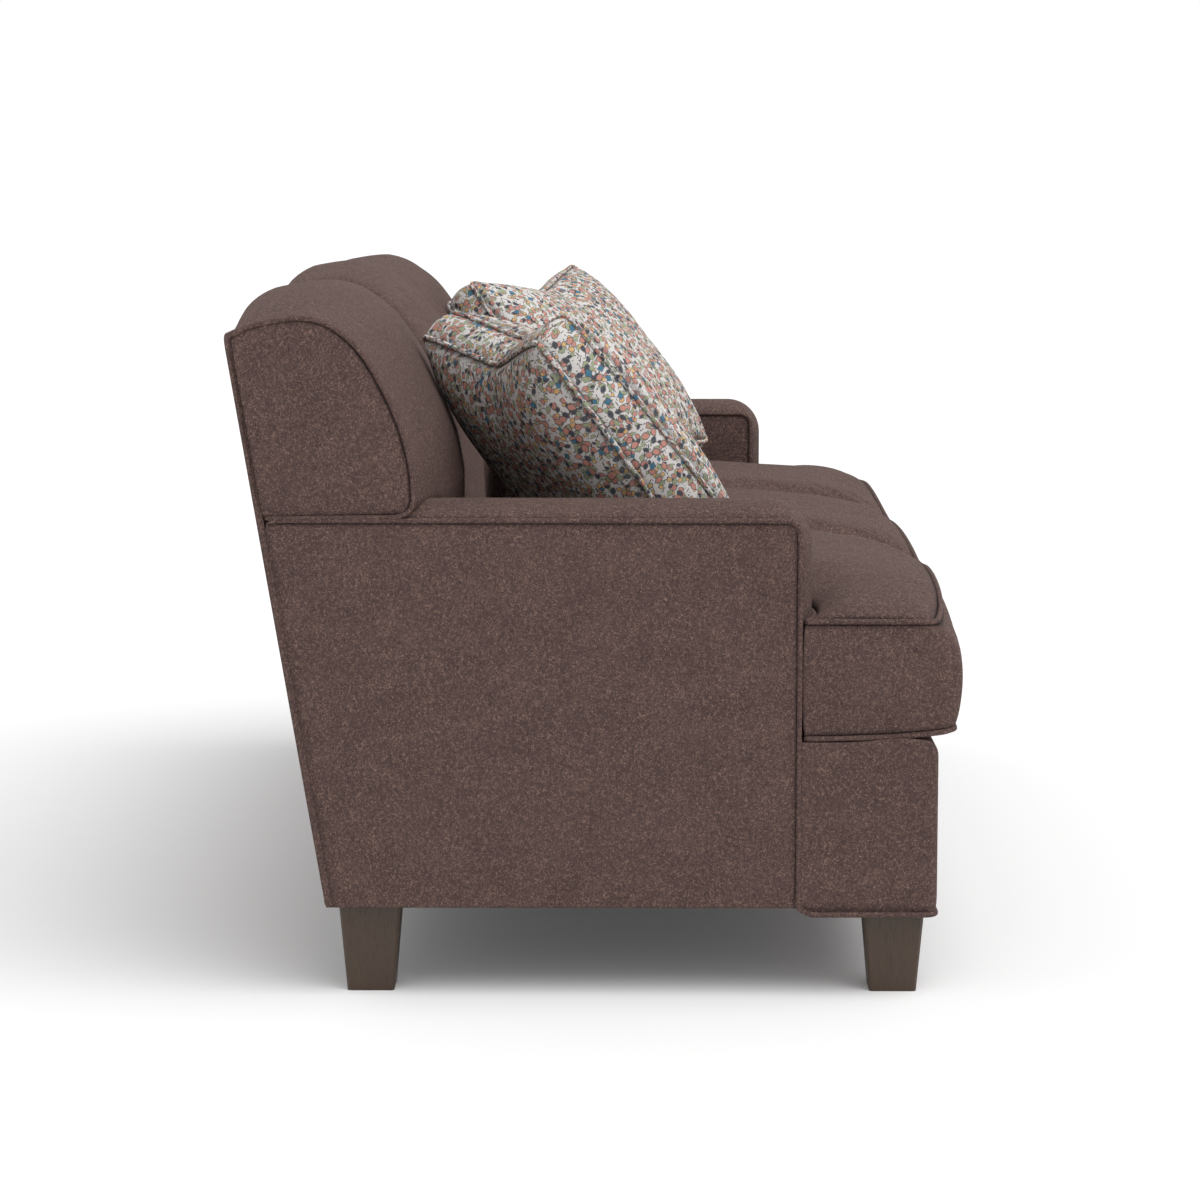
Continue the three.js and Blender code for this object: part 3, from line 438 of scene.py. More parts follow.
def tube(path, radius, facing, sides=10, closed=True):
    """A round cord: each ring is its centre plus radius times (cos a, sin a) in the plane
    across the path, measured from the facing direction. The open ends close to a point."""
    ahead = np.roll(path, -1, axis=0) if closed else np.vstack((path[1:], path[-1:]))
    behind = np.roll(path, 1, axis=0) if closed else np.vstack((path[:1], path[:-1]))
    along = ahead - behind
    along /= np.maximum(np.linalg.norm(along, axis=1, keepdims=True), 1e-12)
    facing = np.broadcast_to(np.asarray(facing, float), path.shape)
    up = facing - (facing * along).sum(1, keepdims=True) * along
    up /= np.maximum(np.linalg.norm(up, axis=1, keepdims=True), 1e-12)
    side = np.cross(along, up)
    angle = 2 * np.pi * np.arange(sides) / sides
    ring = np.cos(angle)[None, :, None] * up[:, None] + np.sin(angle)[None, :, None] * side[:, None]
    radii = np.full(len(path), radius)
    if not closed:
        radii[[0, -1]] = radius * 0.05
    points = (path[:, None] + radii[:, None, None] * ring).reshape(-1, 3)
    count = len(path)
    i = np.arange(count if closed else count - 1)[:, None]
    j = np.arange(sides)[None, :]
    a, b = i * sides + j, i * sides + (j + 1) % sides
    c, d = (i + 1) % count * sides + (j + 1) % sides, (i + 1) % count * sides + j
    quads = np.stack((a, b, c, d), axis=-1).reshape(-1, 4)
    return points, quads


def evenly(path, closed=True, step=CORD_STEP):
    """The path again in even steps of its own length, once smoothed by its neighbours."""
    ring = np.vstack((path, path[:1])) if closed else path
    along = np.concatenate(([0.0], np.cumsum(np.linalg.norm(np.diff(ring, axis=0), axis=1))))
    count = max(int(along[-1] / step), 8)
    at = np.linspace(0, along[-1], count + 1)
    even = np.stack([np.interp(at, along, ring[:, axis]) for axis in range(3)], axis=1)
    if closed:
        even = even[:-1]
        return (np.roll(even, 1, axis=0) + 2 * even + np.roll(even, -1, axis=0)) / 4
    even[1:-1] = (even[:-2] + 2 * even[1:-1] + even[2:]) / 4
    return even


def box_uv(points, quads):
    """Flat coordinates in metres for each face corner, seen along the face's main axis."""
    corners = points[quads]
    normal = np.abs(np.cross(corners[:, 2] - corners[:, 0], corners[:, 3] - corners[:, 1]))
    axis = normal.argmax(axis=1)
    first = np.array((1, 0, 0))[axis]
    second = np.array((2, 2, 1))[axis]
    rows = np.arange(len(quads))[:, None]
    cells = np.arange(4)[None, :]
    return np.stack((corners[rows, cells, first[:, None]],
                     corners[rows, cells, second[:, None]]), axis=-1).reshape(-1, 2)


def add_piece(name, parts, slot, body, seam=None, replaces=(), flat_from=None):
    """Makes one mesh of several point and quad arrays, with its slot's finish, and puts it on
    its body. seam is the painted seam shade from zero to one, flat_from the points for UVs."""
    offsets = np.cumsum([0] + [len(points) for points, _ in parts])
    points = np.concatenate([part[0] for part in parts])
    quads = np.concatenate([part[1] + at for part, at in zip(parts, offsets)])
    mesh = bpy.data.meshes.new(name)
    mesh.from_pydata(points.tolist(), [], quads.tolist())
    mesh.polygons.foreach_set("use_smooth", np.ones(len(quads), bool))
    # The painted seam shade, which the materials read to darken the colour beside seams.
    depth = mesh.attributes.new("seam", "FLOAT", "POINT")
    values = np.zeros(len(points), np.float32) if seam is None else seam.astype(np.float32)
    depth.data.foreach_set("value", values)
    layer = mesh.uv_layers.new(name="flat")
    uv = box_uv(points if flat_from is None else flat_from, quads)
    layer.data.foreach_set("uv", uv.astype(np.float32).ravel())
    mesh.materials.append(finish(slot))
    mesh.update()
    piece = bpy.data.objects.new(name, mesh)
    bpy.context.scene.collection.objects.link(piece)
    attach(piece, body)
    if replaces:
        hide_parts(*replaces)
    return piece


def read_points(piece):
    """The piece's points as an array."""
    flat = np.empty(len(piece.data.vertices) * 3)
    piece.data.vertices.foreach_get("co", flat)
    return flat.reshape(-1, 3)


def inflate(piece, pinned, hold):
    """Cloth pass: the piece is blown up with its pinned points held and no gravity. Each
    point's travel is capped by a hyperbolic tangent and scaled by hold, nought at a seam."""
    scene = bpy.context.scene
    start = read_points(piece)
    pins = piece.vertex_groups.new(name="pinned")
    pins.add(pinned.tolist(), 1.0, "REPLACE")
    cloth = piece.modifiers.new("cloth", "CLOTH")
    stuff = cloth.settings
    stuff.quality = 4
    stuff.mass = 0.4
    stuff.tension_stiffness = stuff.compression_stiffness = 12
    stuff.shear_stiffness = 6
    stuff.bending_stiffness = 0.6
    stuff.shrink_min = -0.012
    stuff.use_pressure = True
    stuff.uniform_pressure_force = sizes().cloth_pressure
    stuff.vertex_group_mass = pins.name
    stuff.effector_weights.gravity = 0.0
    cloth.collision_settings.use_collision = False
    for number in range(1, CLOTH_FRAMES + 1):
        scene.frame_set(number)
    settled = piece.evaluated_get(bpy.context.evaluated_depsgraph_get())
    moved = np.empty(len(start) * 3)
    settled.data.vertices.foreach_get("co", moved)
    travel = moved.reshape(-1, 3) - start
    size = np.maximum(np.linalg.norm(travel, axis=1, keepdims=True), 1e-9)
    most = sizes().cloth_travel
    travel *= most * np.tanh(size / most) / size * hold[:, None]
    piece.modifiers.remove(cloth)
    piece.vertex_groups.remove(pins)
    scene.frame_set(1)
    piece.data.vertices.foreach_set("co", (start + travel).ravel())
    piece.data.update()


# ---- materials ----------------------------------------------------------------------

class Nodes:
    """Short ways to add and link nodes in one tree."""

    def __init__(self, tree):
        self.tree = tree

    def add(self, kind, **values):
        """A node with its settings and plain inputs."""
        node = self.tree.nodes.new(kind)
        for name, value in values.items():
            if hasattr(node, name) and name not in node.inputs:
                setattr(node, name, value)
            else:
                self.feed(node.inputs[name], value)
        return node

    def feed(self, socket, value):
        """Links an output to an input, or sets the input's own value."""
        if isinstance(value, bpy.types.NodeSocket):
            self.tree.links.new(value, socket)
        else:
            socket.default_value = value

    def math(self, operation, a, b=0.0):
        """A Math node's result."""
        node = self.tree.nodes.new("ShaderNodeMath")
        node.operation = operation
        self.feed(node.inputs[0], a)
        self.feed(node.inputs[1], b)
        return node.outputs[0]

    def mix(self, factor, a, b):
        """A colour between a at nought and b at one."""
        node = self.tree.nodes.new("ShaderNodeMix")
        node.data_type = "RGBA"
        self.feed(node.inputs["Factor"], factor)
        self.feed(node.inputs[6], a)
        self.feed(node.inputs[7], b)
        return node.outputs[2]

    def noise(self, vector, scale, detail=2.0, roughness=0.5, distortion=0.0):
        """A noise texture's value."""
        node = self.add("ShaderNodeTexNoise", Vector=vector, Scale=scale, Detail=detail,
                        Roughness=roughness, Distortion=distortion)
        return node.outputs["Fac"]

    def scaled(self, value, factor):
        """A value times a factor."""
        return self.math("MULTIPLY", value, factor)

    def place(self):
        """The place on the object, in metres."""
        return self.add("ShaderNodeTexCoord").outputs["Object"]

    def seam(self):
        """The painted seam shade kept on the mesh, from zero to one."""
        return self.add("ShaderNodeAttribute", attribute_name="seam").outputs["Fac"]

    def span(self, value, low, high):
        """A value mapped from low..high to 0..1 and clamped."""
        node = self.tree.nodes.new("ShaderNodeMapRange")
        self.feed(node.inputs["Value"], value)
        self.feed(node.inputs["From Min"], low)
        self.feed(node.inputs["From Max"], high)
        return node.outputs["Result"]


def new_group(name, inputs, outputs):
    """A node group with named sockets, with its nodes and its two ends."""
    tree = bpy.data.node_groups.new(name, "ShaderNodeTree")
    kinds = {"value": "NodeSocketFloat", "colour": "NodeSocketColor", "vector": "NodeSocketVector"}
    for label, kind in inputs:
        tree.interface.new_socket(name=label, in_out="INPUT", socket_type=kinds[kind])
    for label, kind in outputs:
        tree.interface.new_socket(name=label, in_out="OUTPUT", socket_type=kinds[kind])
    start = tree.nodes.new("NodeGroupInput")
    end = tree.nodes.new("NodeGroupOutput")
    return tree, Nodes(tree), start.outputs, end.inputs


def slub_weave_group():
    """Heathered cloth: weak large mottles, a fine speckle of yarns, light and dark curly
    fibres on the middle lines of warped noises, and a tiny basket weave in the height."""
    tree, n, given, out = new_group(
        "slub_weave",
        [("Vector", "vector"), ("Ground", "colour"), ("Shade", "colour"), ("Fleck", "colour"),
         ("Seam", "colour"), ("Depth", "value"), ("Fleck size", "value")],
        [("Colour", "colour"), ("Height", "value"), ("Roughness", "value")])
    where = given["Vector"]
    size = given["Fleck size"]
    mottle = n.span(n.noise(where, 16.0, 3.0, 0.6, 0.6), 0.30, 0.70)
    ground = n.mix(n.scaled(mottle, 0.34), given["Ground"], given["Shade"])
    speckle = n.span(n.noise(where, 560.0, 2.0, 0.6), 0.32, 0.68)
    ground = n.mix(n.scaled(speckle, 0.45), ground, given["Shade"])

    def fibres(scale, detail, curl, middle, low):
        """Thin lines where a warped noise passes its middle, kept in patches only."""
        field = n.noise(where, n.math("DIVIDE", scale, size), detail, 0.55, curl)
        line = n.math("ABSOLUTE", n.math("SUBTRACT", field, middle))
        patches = n.noise(where, n.math("DIVIDE", 1.9 * scale, size), 1.0, 0.5, 0.8)
        patch = n.span(patches, low, low + 0.1)
        return n.scaled(n.span(line, 0.040, 0.014), patch)

    light = n.math("MAXIMUM", fibres(1.0, 1.5, 2.2, 0.50, 0.44), fibres(1.45, 1.0, 1.6, 0.47, 0.50))
    dark = fibres(1.2, 1.5, 1.8, 0.53, 0.42)
    # The Seam colour serves the dark fibres here.
    cloth = n.mix(n.scaled(dark, 0.55), ground, given["Seam"])
    cloth = n.mix(n.scaled(light, 0.85), cloth, given["Fleck"])
    # Painted shade: the colour darkens to the Seam colour by the mesh's painted seam shade.
    cloth = n.mix(given["Depth"], cloth, given["Seam"])
    n.feed(out["Colour"], cloth)
    place = n.add("ShaderNodeSeparateXYZ", Vector=where).outputs
    wave = 2 * math.pi / 0.0026
    warp = n.math("SINE", n.scaled(n.math("ADD", place["X"], place["Y"]), wave))
    weft = n.math("SINE", n.scaled(n.math("SUBTRACT", place["Z"], place["Y"]), wave))
    height = n.scaled(n.scaled(warp, weft), 0.12)
    height = n.math("ADD", height, n.scaled(light, 0.40))
    height = n.math("SUBTRACT", height, n.scaled(speckle, 0.55))
    n.feed(out["Height"], height)
    n.feed(out["Roughness"], n.math("SUBTRACT", 0.95, n.scaled(light, 0.12)))
    return tree


def wood_grain_group():
    """Straight grain: noise stretched along Z, with fine pores and a soft drift."""
    tree, n, given, out = new_group(
        "wood_grain",
        [("Vector", "vector"), ("Wood", "colour"), ("Grain", "colour"), ("Wear", "value")],
        [("Colour", "colour"), ("Height", "value"), ("Roughness", "value")])
    stretch = n.add("ShaderNodeMapping", Vector=given["Vector"], Scale=(60.0, 60.0, 4.0)).outputs[0]
    bands = n.span(n.noise(stretch, 1.6, 4.0, 0.6, 0.9), 0.36, 0.64)
    pores = n.span(n.noise(stretch, 9.0, 2.0, 0.5, 0.2), 0.54, 0.68)
    drift = n.span(n.noise(given["Vector"], 9.0, 2.0), 0.3, 0.7)
    wood = n.mix(n.scaled(bands, 0.35), given["Wood"], given["Grain"])
    wood = n.mix(n.scaled(pores, 0.5), wood, given["Grain"])
    wood = n.mix(n.scaled(drift, n.scaled(given["Wear"], 0.35)), wood, given["Grain"])
    n.feed(out["Colour"], wood)
    n.feed(out["Height"], n.math("SUBTRACT", n.scaled(bands, 0.4), pores))
    n.feed(out["Roughness"], n.math("ADD", 0.42, n.scaled(pores, 0.25)))
    return tree


def motif_group():
    """Scattered printed motifs: each cell of a Voronoi pattern holds one ellipse or leaf,
    turned by the cell's own chance value, with a thin outline."""
    tree, n, given, out = new_group(
        "scattered_motif",
        [("Vector", "vector"), ("Below", "colour"), ("Motif", "colour"), ("Line", "colour"),
         ("Cell", "value"), ("Length", "value"), ("Width", "value"), ("Amount", "value"),
         ("Point", "value")],
        [("Colour", "colour")])
    size = n.math("DIVIDE", 1.0, given["Cell"])
    cells = n.add("ShaderNodeTexVoronoi", voronoi_dimensions="2D", feature="F1",
                  Vector=given["Vector"], Scale=size, Randomness=0.85)
    middle = n.add("ShaderNodeVectorMath", operation="SUBTRACT")
    n.feed(middle.inputs[0], given["Vector"])
    n.feed(middle.inputs[1], cells.outputs["Position"])
    chance = n.add("ShaderNodeSeparateColor", Color=cells.outputs["Color"]).outputs
    angle = n.scaled(chance["Red"], 2 * math.pi)
    turn = n.add("ShaderNodeVectorRotate", rotation_type="Z_AXIS", Vector=middle.outputs[0], Angle=angle)
    place = n.add("ShaderNodeSeparateXYZ", Vector=turn.outputs[0]).outputs
    grow = n.math("ADD", 0.7, n.scaled(chance["Green"], 0.6))
    along = n.math("DIVIDE", place["X"], n.scaled(given["Length"], grow))
    taper = n.math("SUBTRACT", 1.0, n.scaled(given["Point"], n.math("ABSOLUTE", along)))
    across = n.math("DIVIDE", place["Y"],
                    n.scaled(n.scaled(given["Width"], grow),
                           n.math("MAXIMUM", taper, 0.05)))
    radius = n.math("SQRT", n.math("ADD", n.math("POWER", along, 2.0), n.math("POWER", across, 2.0)))
    used = n.math("LESS_THAN", chance["Blue"], given["Amount"])
    inner = n.scaled(n.span(radius, 0.92, 0.84), used)
    outer = n.scaled(n.span(radius, 1.26, 1.14), used)
    lined = n.mix(n.scaled(outer, 0.8), given["Below"], given["Line"])
    n.feed(out["Colour"], n.mix(inner, lined, given["Motif"]))
    return tree


GROUPS = {}


def group(name):
    """A shared node group, made when first asked for."""
    makers = {"slub_weave": slub_weave_group, "wood_grain": wood_grain_group,
              "scattered_motif": motif_group}
    if name not in GROUPS:
        GROUPS[name] = makers[name]()
    return GROUPS[name]


def new_material(name):
    """A material with a Principled shader, its node helper and the shader."""
    made = bpy.data.materials.new(name)
    made.use_nodes = True
    tree = made.node_tree
    shader = tree.nodes["Principled BSDF"]
    return made, Nodes(tree), shader


def use_group(n, name, **values):
    """Places a shared group in a material with its own values."""
    node = n.tree.nodes.new("ShaderNodeGroup")
    node.node_tree = group(name)
    for label, value in values.items():
        n.feed(node.inputs[label.replace("_", " ")], value)
    return node.outputs


def add_bump(n, shader, height, strength, distance):
    """A Bump node on the shader's normal."""
    node = n.add("ShaderNodeBump", Strength=strength, Distance=distance, Height=height)
    n.feed(shader.inputs["Normal"], node.outputs[0])


def woven(name, ground, shade, fleck, seam, fleck_size, shine, bump):
    """A cloth of the slub weave, with its bump as strength and height. seam is the colour of its
    dark fibres and of the painted shade beside seams. Returns the material and its shader."""
    made, n, shader = new_material(name)
    cloth = use_group(n, "slub_weave", Vector=n.place(), Ground=ground, Shade=shade, Fleck=fleck,
                      Seam=seam, Depth=n.seam(), Fleck_size=fleck_size)
    n.feed(shader.inputs["Base Color"], cloth["Colour"])
    n.feed(shader.inputs["Roughness"], cloth["Roughness"])
    shader.inputs["Specular IOR Level"].default_value = shine
    add_bump(n, shader, cloth["Height"], *bump)
    return made, shader


def upholstery():
    """The heathered brown cloth of the covers and seat, with a faint sheen."""
    c = colours()
    made, shader = woven("heathered_upholstery", c.cloth, c.cloth_dark, c.cloth_fleck,
                         c.cloth_dark_fibre_and_seam_shade, 0.0075, 0.25, (0.60, 0.0009))
    shader.inputs["Sheen Weight"].default_value = 0.10
    shader.inputs["Sheen Roughness"].default_value = 0.5
    shader.inputs["Sheen Tint"].default_value = c.cloth_fleck
    return made


def plain_weave(name, ground, shade):
    """A flat technical cloth with the same weave and small flecks."""
    return woven(name, ground, shade, ground, shade, 0.006, 0.2, (0.4, 0.0006))[0]


def printed_cloth():
    """Off-white cloth with a generic scattered print in several small motifs and painted seam shade."""
    made, n, shader = new_material("printed_cloth")
    c = colours()
    flat = n.add("ShaderNodeUVMap", uv_map="flat").outputs[0]
    # Each motif's colour, cell, length, width, amount, pointedness and start.
    motifs = (
        (c.print_line, 0.0060, 0.0009, 0.0007, 0.75, 0.0, 0.207),
        (c.print_line, 0.0110, 0.0042, 0.0006, 0.90, 0.6, 0.431),
        (c.print_tan, 0.0130, 0.0034, 0.0028, 0.50, 0.0, 0.013),
        (c.print_coral, 0.0130, 0.0046, 0.0036, 0.55, 0.3, 0.619),
        (c.print_sage, 0.0140, 0.0056, 0.0034, 0.80, 0.9, 0.301),
        (c.print_slate, 0.0140, 0.0040, 0.0028, 0.62, 0.2, 0.517),
        (c.print_coral, 0.0170, 0.0050, 0.0038, 0.52, 0.3, 0.733),
        (c.print_teal, 0.0250, 0.0054, 0.0040, 0.50, 0.8, 0.911),
    )
    printed = c.print_ground
    for motif, cell, long, wide, amount, point, start in motifs:
        moved = n.add("ShaderNodeVectorMath", operation="ADD")
        n.feed(moved.inputs[0], flat)
        n.feed(moved.inputs[1], (start, start * 1.7, 0.0))
        printed = use_group(
            n, "scattered_motif", Vector=moved.outputs[0], Below=printed, Motif=motif,
            Line=c.print_line, Cell=cell, Length=long, Width=wide, Amount=amount,
            Point=point)["Colour"]
    grain = n.noise(n.place(), 700.0, 2.0)
    # Painted seam shade: the print darkens towards its line colour beside the seams.
    cloth = n.mix(n.scaled(n.seam(), 0.6), printed, c.print_line)
    cloth = n.mix(n.scaled(n.span(grain, 0.3, 0.8), 0.18), cloth, c.print_ground)
    n.feed(shader.inputs["Base Color"], cloth)
    shader.inputs["Roughness"].default_value = 0.85
    shader.inputs["Specular IOR Level"].default_value = 0.25
    add_bump(n, shader, grain, 0.35, 0.0006)
    return made


def wood(name, ground, grain, wear, coat):
    """Wood with straight grain and a thin finish."""
    made, n, shader = new_material(name)
    grained = use_group(n, "wood_grain", Vector=n.place(), Wood=ground, Grain=grain, Wear=wear)
    n.feed(shader.inputs["Base Color"], grained["Colour"])
    n.feed(shader.inputs["Roughness"], grained["Roughness"])
    shader.inputs["Coat Weight"].default_value = coat
    shader.inputs["Coat Roughness"].default_value = 0.35
    add_bump(n, shader, grained["Height"], 0.3, 0.0005)
    return made


def steel():
    """Drawn spring wire, slightly uneven."""
    made, n, shader = new_material("spring_steel")
    patches = n.span(n.noise(n.place(), 60.0, 3.0), 0.3, 0.7)
    shader.inputs["Metallic"].default_value = 1.0
    n.feed(shader.inputs["Base Color"],
           n.mix(n.scaled(patches, 0.3), colours().steel, (0.12, 0.11, 0.10, 1.0)))
    n.feed(shader.inputs["Roughness"], n.math("ADD", 0.3, n.scaled(patches, 0.2)))
    return made


FINISHES = {}


def finish(name):
    """A finish by name, made when first asked for."""
    c = colours()
    makers = {
        "upholstery": upholstery,
        "pillow_print": printed_cloth,
        "platform_cloth": lambda: plain_weave("platform_cloth", c.platform, c.dust),
        "dust_cloth": lambda: plain_weave("dust_cloth", c.dust, (0.006, 0.006, 0.006, 1.0)),
        "leg_wood": lambda: wood("stained_leg_wood", c.leg_wood, c.leg_grain, 1.0, 0.25),
        "frame_timber": lambda: wood("frame_timber", c.timber, c.timber_grain, 0.4, 0.0),
        "spring_steel": steel,
    }
    if name not in FINISHES:
        FINISHES[name] = makers[name]()
    return FINISHES[name]


# ---- seat cushions ------------------------------------------------------------------

def ear_back(x):
    """The line behind a cushion's ear: the arm's front, less its crown over the arm."""
    station = np.clip(np.abs(np.abs(x) - ARM_MIDDLE) / ARM_HALF, 0, 1)
    follows = np.where(np.abs(x) > ARM_INNER, 1 - station ** ARM_CROWN_POWER, 0)
    return ARM_FRONT - EAR_GAP - ARM_FRONT_CROWN * follows


def seat_cushion(inner, outer, end, sign):
    """A boxed cushion. Its top runs from the seam's height to the crown's by the product of
    domes of the distances from its sides, and its boxing bulges as a half sine. Where end is
    beyond outer, an ear runs in front of the arm; there the front falls back by a power of
    the place across, most of it near the top seam. Returns the grid, the points, their
    distances from a seam, the seams and the cords' lines."""
    s = sizes()
    has_ear = end > outer
    main_columns, ear_columns, front_rows, rear_rows, layers = 84, 30, 36, 50, 22
    xs = graded(inner, outer, main_columns)
    if has_ear:
        xs = joined(xs, graded(outer, end, ear_columns, 0.6))
    columns, rows = len(xs) - 1, front_rows + rear_rows
    kept = np.ones((columns, rows), bool)
    kept[main_columns:, front_rows:] = False
    grid = BoxedGrid(kept, layers, turned=sign < 0)
    i, j, k = grid.i, grid.j, grid.k
    x = xs[i]
    level = graded(0, 1, layers, 0.6)[k]
    share = (x - inner) / (end - inner)
    arch = 1 - (2 * share - 1) ** 2
    bow = s.seam_bow * arch ** 2 if has_ear else s.middle_bow * arch
    dip = CUSHION_FRONT_DIP * (1 - share if has_ear else 1)
    lean = s.seam_lean * arch ** 2 if has_ear else 0
    towards_ear = share ** EAR_TURN_POWER if has_ear else 0 * x
    foremost = MIDDLE_LOW[1] + s.front_bulge
    foot_line = foremost + s.ear_foot_setback * towards_ear
    top_line = foremost + s.ear_setback * towards_ear + lean
    front = foot_line + (top_line - foot_line) * level ** EAR_LEAN_POWER
    rear = MIDDLE_HIGH[1] - CUSHION_SIDE_BULGE
    front_share = graded(0, 1, front_rows, 0.6)[np.minimum(j, front_rows)]
    rear_share = graded(0, 1, rear_rows, 0.6)[np.maximum(j - front_rows, 0)]
    notch_y = ear_back(0.0)
    y = np.where(j <= front_rows, front + (ear_back(x) - front) * front_share,
                 notch_y + (rear - notch_y) * rear_share)
    gaps = [x - inner, end - x, y - front, rear - y]
    if has_ear:
        gaps.append(np.hypot(np.maximum(outer - x, 0), np.maximum(ear_back(x) - y, 0)))
    # The crown rises soonest from a joint between cushions, and latest from the front.
    reaches = np.array((0.6, 1 if has_ear else 0.6, 1.9, 1, 1)) * s.cushion_reach
    crown = np.prod([dome(gap / reach) for gap, reach in zip(gaps, reaches)], axis=0)
    edge = np.min(gaps, axis=0)
    near_front = np.exp(-(y - front) / CUSHION_BOTTOM_REACH)
    low_crown = np.prod([rise(gap / CUSHION_BOTTOM_REACH, CUSHION_BOTTOM_POWER) for gap in gaps],
                        axis=0)
    bottom = CUSHION_LOW + (CUSHION_BOTTOM_LIFT * near_front + CUSHION_BOTTOM_ROUND) * (1 - low_crown)
    seam_top = CUSHION_LOW + CUSHION_THICKNESS
    welt = seam_top + (bow - dip) * near_front
    px, py = x, y
    if has_ear:
        at_end = (foremost + s.ear_foot_setback
                  + (s.ear_setback - s.ear_foot_setback) * level ** EAR_LEAN_POWER)
        px, py = round_corner(x, y, end, at_end, s.cushion_corner, 1, -1)
        px, py = round_corner(px, py, end, ear_back(end), EAR_HEEL_ROUND, 1, 1)
    out_x, out_y = grid.outward()
    swell = np.sin(np.pi * level)
    bulge = s.front_bulge + (s.ear_bulge - s.front_bulge) * towards_ear
    bulge = np.where(out_y < 0, bulge, CUSHION_SIDE_BULGE)
    px = px + out_x * swell * CUSHION_SIDE_BULGE
    py = py + out_y * swell * bulge
    z = np.where(k == 0, bottom, np.where(
        k == layers, welt + (seam_top + s.cushion_crown - welt) * crown,
        bottom + (welt - bottom) * level))
    points = np.stack((sign * px, py, z), axis=1)
    wall = np.minimum(level, 1 - level) * CUSHION_THICKNESS
    distance = np.where((k == 0) | (k == layers), edge, wall)
    points, cord = tucked(points, grid.quads, distance)
    ear = ((columns, front_rows), (main_columns, front_rows)) if has_ear else ()
    seams = grid.seams((0, 0), (columns, 0), *ear, (main_columns, rows), (0, rows))
    return grid, points, distance, seams, [cord[seam] for seam in seams]


def add_seat_cushions():
    """The three loose seat cushions with their welts."""
    s = sizes()
    joint = SEAT_PITCH / 2
    gap = CUSHION_GAP
    spans = {
        "right": (joint + gap, ARM_INNER - gap, HALF_WIDTH - CUSHION_SIDE_BULGE, -1),
        "middle": (-joint + gap, joint - gap, 0.0, 1),
        "left": (joint + gap, ARM_INNER - gap, HALF_WIDTH - CUSHION_SIDE_BULGE, 1),
    }
    for name, (inner, outer, end, sign) in spans.items():
        grid, points, distance, seams, lines = seat_cushion(inner, outer, max(end, outer), sign)
        body = "seat_cushion_" + name
        # Painted shade darkens the cushion's colour beside its seams.
        cushion = add_piece(
            "cushion_" + name, [(points, grid.quads)], "upholstery", body,
            painted_seam_shade(distance), ["seat_cushion_" + name])
        ahead = smooth((ARM_FRONT - EAR_FREE_START - points[:, 1]) / EAR_FREE_REACH)
        free = np.where(grid.k == grid.layers, 1, ahead)
        inflate(cushion, np.concatenate(seams), free * (1 - fade(distance, CLOTH_FREE_REACH)))
        cords = [tube(evenly(line), s.welt_radius, (0, 0, 1)) for line in lines]
        add_piece("cushion_welts_" + name, cords, "upholstery", body)


# ---- arms ---------------------------------------------------------------------------

def arm_cover(sign):
    """A box whose front and top swell between its two welted side panels: each point is a
    mix of the welts' outline and the crown's outline, by one minus a power of the place
    across the arm. Returns the grid, points, seam distance and the welt lines."""
    s = sizes()
    columns, rows, layers = 30, 96, 80
    grid = whole_grid(columns, rows, layers)
    u = graded(-1, 1, columns, 0.5)[grid.i]
    y_share = graded(0, 1, rows, 0.6)[grid.j]
    z_share = graded(0, 1, layers, 0.6)[grid.k]
    share = 1 - np.abs(u) ** ARM_CROWN_POWER
    rear_round, rear_margin, panel_reach, panel_start = 0.016, 0.004, 0.10, 0.06
    outlines = []
    for ahead, above, radius in ((0.0, 0.0, ARM_WELT_RADIUS),
                                 (ARM_FRONT_CROWN, ARM_TOP_CROWN, ARM_CROWN_RADIUS)):
        top = ARM_TOP + above
        z = ARM_FOOT + (top - ARM_FOOT) * z_share
        growth = smooth((z - BORDER_TOP) / ARM_CROWN_GROWTH)
        front = ARM_FRONT - ahead * growth
        y = front + (rear_at(z) - REAR_SKIN - front) * y_share
        y, z = round_corner(y, z, ARM_FRONT - ahead, top, radius, -1, 1)
        if not ahead:
            y, z = round_corner(y, z, rear_at(ARM_TOP) - REAR_SKIN, top, rear_round, 1, 1)
        outlines.append((y, z))
    y, z = (outlines[0][axis] + share * (outlines[1][axis] - outlines[0][axis]) for axis in (0, 1))
    x = sign * ARM_MIDDLE + ARM_HALF * u
    rear = rear_at(z) - REAR_SKIN
    inside = np.minimum(np.minimum(y - ARM_FRONT, ARM_TOP - z), rear - y + rear_margin)
    side = np.abs(u) > 0.9999
    puff = s.panel_puff * rise(inside / panel_reach, 2.0) * smooth((z - ARM_FOOT) / panel_start)
    x = x + np.where(side, np.sign(u) * puff, 0)
    points = np.stack((x, y, z), axis=1)
    across = (1 - np.abs(u)) * ARM_HALF
    distance = np.where(side, np.maximum(inside, 0), across)
    distance = np.where((grid.j == rows) | (grid.k == 0), 1.0, distance)
    points, cord = tucked(points, grid.quads, distance, 0.85)
    lines = [cord[grid.line((at, 0, 0), (at, 0, layers), (at, rows, layers))] for at in (0, columns)]
    return grid, points, distance, lines


def add_arm_covers():
    """The two arm covers with their welts."""
    s = sizes()
    for name, sign in SIDES:
        grid, points, distance, lines = arm_cover(sign)
        # Painted shade darkens the arm's colour beside its welts.
        cover = add_piece(
            "arm_" + name, [(points, grid.quads)], "upholstery", "root",
            painted_seam_shade(distance), ["arm_cover_" + name])
        cords = [tube(evenly(line, closed=False), s.welt_radius * 0.95, (1, 0, 0), closed=False)
                 for line in lines]
        add_piece("arm_welts_" + name, cords, "upholstery", "root")


# ---- front border and outside back --------------------------------------------------

